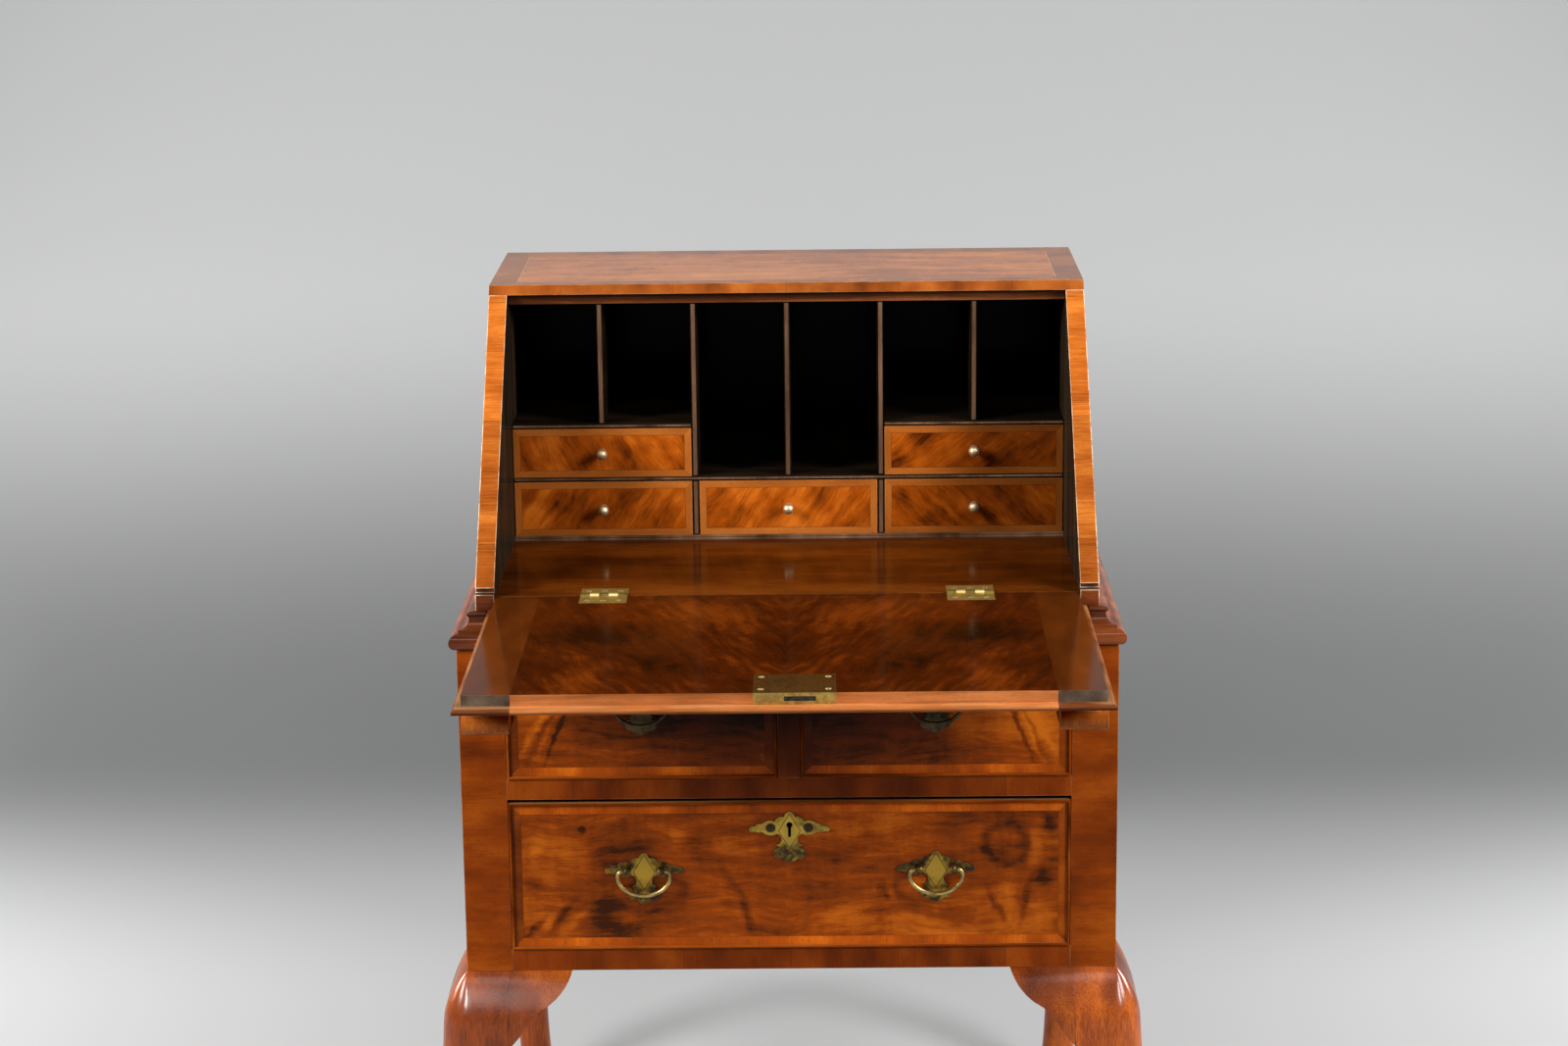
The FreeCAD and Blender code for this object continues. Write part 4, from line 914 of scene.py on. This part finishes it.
# Brass
def plate_reach(g):
    """How far a point of a brass plate lies from the plate's middle, 1 on the rim of the lozenge there."""
    at = g.split(g.place)
    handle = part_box("upper_right_drawer_handle")
    reach = None
    for name in ("long_drawer_handles", "upper_right_drawer_handle", "long_drawer_escutcheon"):
        low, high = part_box(name)
        x = 0.0 if name == "long_drawer_escutcheon" else (handle[0].x + handle[1].x) / 2
        z = high.z - 0.38 * (high.z - low.z)
        across = g.math("ABSOLUTE", g.math("SUBTRACT", g.math("ABSOLUTE", at["X"]), x))
        upright = g.math("ABSOLUTE", g.math("SUBTRACT", at["Z"], z))
        away = g.math("ADD", g.math("DIVIDE", across, 12 * MM), g.math("DIVIDE", upright, 20 * MM))
        reach = away if reach is None else g.math("MINIMUM", reach, away)
    return reach


def plate_shine(g):
    """The plates stay bright in the lozenge at their middles, where they are rubbed, and darken away from it."""
    return g.span(plate_reach(g), 0.6, 1.7, 0.20, -0.10)


def keyplate_shine(g):
    """The keyhole plate stays bright but for its lower lobes and the dirt round its two pins."""
    low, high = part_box("long_drawer_escutcheon")
    at = g.split(g.place)
    across = g.math("SUBTRACT", g.math("ABSOLUTE", at["X"]), 20.5 * MM)
    upright = g.math("SUBTRACT", at["Z"], high.z - 0.31 * (high.z - low.z))
    away = g.math("SQRT", g.math("ADD", g.math("MULTIPLY", across, across), g.math("MULTIPLY", upright, upright)))
    pins = g.span(away, 3.5 * MM, 6.5 * MM, -0.42, 0.0)
    lobes = g.span(at["Z"], low.z + 14 * MM, low.z + 24 * MM, -0.17, 0.0)
    middle = g.span(plate_reach(g), 0.7, 1.5, 0.22, 0.05)
    return g.math("ADD", middle, g.math("MINIMUM", pins, lobes))


def engraved(g):
    """The lines cut round the lozenge."""
    off = g.math("ABSOLUTE", g.math("SUBTRACT", plate_reach(g), 1.0))
    return g.span(off, 0.02, 0.07, 1.0, 0.0)


def slots(name, body, places, top, turn_by):
    """The slots in the heads of screws, each a thin dark bar let into the head at its own angle."""
    material = aged_brass("screw_slot_dark", (0.03, 0.022, 0.012, 1), (0.012, 0.009, 0.006, 1), 0.6, seed=6.0)
    length, width, depth = 5.2 * MM, 0.76 * MM, 0.1 * MM
    made = bmesh.new()
    for number, (x, y) in enumerate(places):
        turn = Matrix.Rotation(turn_by * (number * number + 1), 4, "Z")
        size = Matrix.Diagonal((length, width, depth, 1))
        bmesh.ops.create_cube(made, size=1.0, matrix=Matrix.Translation((x, y, top)) @ turn @ size)
    mesh = bpy.data.meshes.new(name)
    made.to_mesh(mesh)
    made.free()
    mesh.materials.append(material)
    piece = bpy.data.objects.new(name, mesh)
    bpy.context.scene.collection.objects.link(piece)
    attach(piece, body)


def screw_places(node):
    """The middle of each screw's head in a node of screws."""
    points, groups = solids_of(frame["nodes"][node].data)
    places = []
    for faces in groups:
        used = [points[number] for face in faces for number in face]
        places.append(((min(p.x for p in used) + max(p.x for p in used)) / 2,
                       (min(p.y for p in used) + max(p.y for p in used)) / 2))
    return places


def dress_brass():
    plate = aged_brass("plate_brass", (0.50, 0.30, 0.042, 1), (0.046, 0.034, 0.022, 1), 0.30, shine=plate_shine,
                       cuts=engraved)
    # A darker copy of the plate brass: painted shade for the upper drawers' brass under the fall
    painted_shade_plate = aged_brass("painted_shade_plate_brass", (0.10, 0.075, 0.035, 1), (0.020, 0.016, 0.012, 1), 0.40, seed=9.0)
    keyplate = aged_brass("keyplate_brass", (0.56, 0.36, 0.058, 1), (0.060, 0.042, 0.022, 1), 0.30, seed=8.0,
                          shine=keyplate_shine, cuts=engraved)
    dull_leaf = aged_brass("dull_leaf_brass", (0.30, 0.21, 0.050, 1), (0.10, 0.065, 0.018, 1), 0.45, seed=10.0)
    bail = aged_brass("bail_brass", (0.72, 0.53, 0.19, 1), (0.16, 0.11, 0.045, 1), 0.22, seed=1.0)
    leaf = aged_brass("leaf_brass", (0.76, 0.52, 0.130, 1), (0.30, 0.19, 0.050, 1), 0.40, seed=2.0)
    lock = aged_brass("lock_brass", (0.28, 0.108, 0.003, 1), (0.08, 0.030, 0.001, 1), 0.34, seed=5.0)
    bright = aged_brass("rubbed_brass", (0.95, 0.78, 0.36, 1), (0.70, 0.52, 0.18, 1), 0.45, seed=7.0)
    knob = aged_brass("knob_brass", (0.90, 0.70, 0.44, 1), (0.40, 0.27, 0.14, 1), 0.40, seed=3.0)
    iron = aged_brass("lock_iron", (0.10, 0.09, 0.08, 1), (0.03, 0.025, 0.02, 1), 0.45, seed=4.0)
    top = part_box("writing_bed")[1].z
    for name in frame["nodes"]:
        for ending, material, arris in (
            ("_handle", plate, BRASS_ARRIS), ("_handles", plate, BRASS_ARRIS), ("_escutcheon", keyplate, BRASS_ARRIS),
            ("_bail", bail, 0.0), ("_knob", knob, 0.0),
        ):
            if name.endswith(ending):
                # The upper drawers' plates and bails take the darker brass, a painted shade of the fall over them
                material = painted_shade_plate if "upper" in name and material is not knob else material
                dress_all([name], material, round_by=arris, flatten=False, sharp=CAST_TURN)
        if name.startswith("long_drawer_lock"):
            dress_all([name], iron, flatten=False, sharp=CARVED_TURN)
    dress_all(["fall_lock_bolt"], iron, flatten=False, sharp=CARVED_TURN)
    dressed("bed_hinge_leaves", [leaf, dull_leaf], lambda c, n: dull_leaf if c.z > top + KNUCKLE_RISE else leaf,
            flatten=False, sharp=CARVED_TURN)
    dress_all(["bed_hinge_screws", "fall_screws"], bright, flatten=False, sharp=CARVED_TURN)
    dressed("fall_hinge_leaves", [leaf, bright], lambda c, n: bright if c.z > top + KNUCKLE_RISE else leaf,
            flatten=False, sharp=CARVED_TURN)
    dressed("fall_lock", [lock, leaf], lambda c, n: leaf if faces_front(n) else lock, flatten=False,
            sharp=CARVED_TURN)
    slots("fall_screw_slots", "fall", screw_places("fall_screws"), top, 0.7)
    slots("bed_screw_slots", "case", screw_places("bed_hinge_screws"), top, 0.9)


# Ground, light and camera
def make_ground():
    mesh = bpy.data.meshes.new("ground")
    made = bmesh.new()
    half, front, back, rise, bend = 40.0, -40.0, 3.2, 6.0, 1.6
    profile = [(front, 0.0), (back - bend, 0.0)]
    steps = 16
    for step in range(1, steps + 1):
        turn = math.pi / 2 * step / steps
        profile.append((back - bend + bend * math.sin(turn), bend - bend * math.cos(turn)))
    profile.append((back, rise))
    rows = [[made.verts.new((x, y, z)) for y, z in profile] for x in (-half, half)]
    for left, right, right_next, left_next in zip(rows[0], rows[1], rows[1][1:], rows[0][1:]):
        made.faces.new((left, right, right_next, left_next)).smooth = True
    made.to_mesh(mesh)
    made.free()
    mesh.materials.append(grey_ground())
    ground = bpy.data.objects.new("ground", mesh)
    bpy.context.scene.collection.objects.link(ground)


def soft_box(name, place, target, size, power):
    light = bpy.data.lights.new(name, "AREA")
    light.shape = "RECTANGLE"
    light.size, light.size_y = size
    light.energy = power
    lamp = bpy.data.objects.new(name, light)
    lamp.location = place
    lamp.rotation_euler = (Vector(target) - Vector(place)).to_track_quat("-Z", "Y").to_euler()
    bpy.context.scene.collection.objects.link(lamp)
    return lamp


def make_light():
    world = bpy.data.worlds.new("studio")
    world.use_nodes = True
    world.node_tree.nodes["Background"].inputs["Color"].default_value = (0.9, 0.95, 1.0, 1)
    strength = world.node_tree.nodes.new("ShaderNodeMapRange")
    strength.inputs["To Min"].default_value, strength.inputs["To Max"].default_value = 0.07, 0.38
    world.node_tree.links.new(seen(world.node_tree), strength.inputs["Value"])
    world.node_tree.links.new(strength.outputs[0], world.node_tree.nodes["Background"].inputs["Strength"])
    bpy.context.scene.world = world
    target = (0, -0.1, 0.62)
    soft_box("left_box", (-2.5, -1.5, 2.35), target, (0.8, 1.4), 123)
    soft_box("right_box", (2.5, -1.5, 2.3), target, (0.8, 1.4), 113)
    soft_box("over_box", (0.0, -2.4, 3.4), target, (1.6, 0.6), 14)
    # Two narrow boxes that only light the legs, for the gloss on their knees
    legs = bpy.data.collections.new("legs")
    for name in ("front_legs_dressed", "back_legs_dressed", "leg_brackets_dressed"):
        legs.objects.link(bpy.data.objects[name])
    for lamp in (
        soft_box("knee_left_box", (-1.27, -2.95, 2.17), (-0.36, -0.12, 0.31), (0.24, 1.1), 80),
        soft_box("knee_right_box", (1.75, -2.35, 1.95), (0.37, -0.12, 0.31), (0.24, 1.1), 50),
    ):
        lamp.light_linking.receiver_collection = legs
    soft_box("ground_left_box", (-2.5, 0.9, 1.3), (0.1, 0.75, 0.0), (1.0, 1.0), 98)
    soft_box("ground_right_box", (2.5, 0.9, 1.3), (-0.1, 0.75, 0.0), (1.0, 1.0), 98)


def make_camera():
    """The photograph's camera, worked out from the desk's corners in it."""
    place = Vector((0.0415, -3.6038, 1.6868))
    pitch, yaw, roll = 0.237, -0.0124, -0.012
    forward = Vector((math.sin(yaw) * math.cos(pitch), math.cos(yaw) * math.cos(pitch), -math.sin(pitch)))
    right = Vector((math.cos(yaw), -math.sin(yaw), 0))
    up = right.cross(forward)
    across = math.cos(roll) * right + math.sin(roll) * up
    above = math.cos(roll) * up - math.sin(roll) * right
    data = bpy.data.cameras.new("camera")
    data.sensor_width = 36.0
    data.lens = 77.62
    data.clip_start, data.clip_end = 0.05, 60.0
    camera = bpy.data.objects.new("camera", data)
    turn = Matrix((across, above, -forward)).transposed()
    camera.matrix_world = Matrix.Translation(place) @ turn.to_4x4()
    bpy.context.scene.collection.objects.link(camera)
    bpy.context.scene.camera = camera


dress_case()
dress_desk()
dress_fall()
dress_drawers()
dress_inner_drawers()
dress_brass()
make_ground()
make_light()
make_camera()
bpy.context.scene.view_settings.view_transform = "Standard"
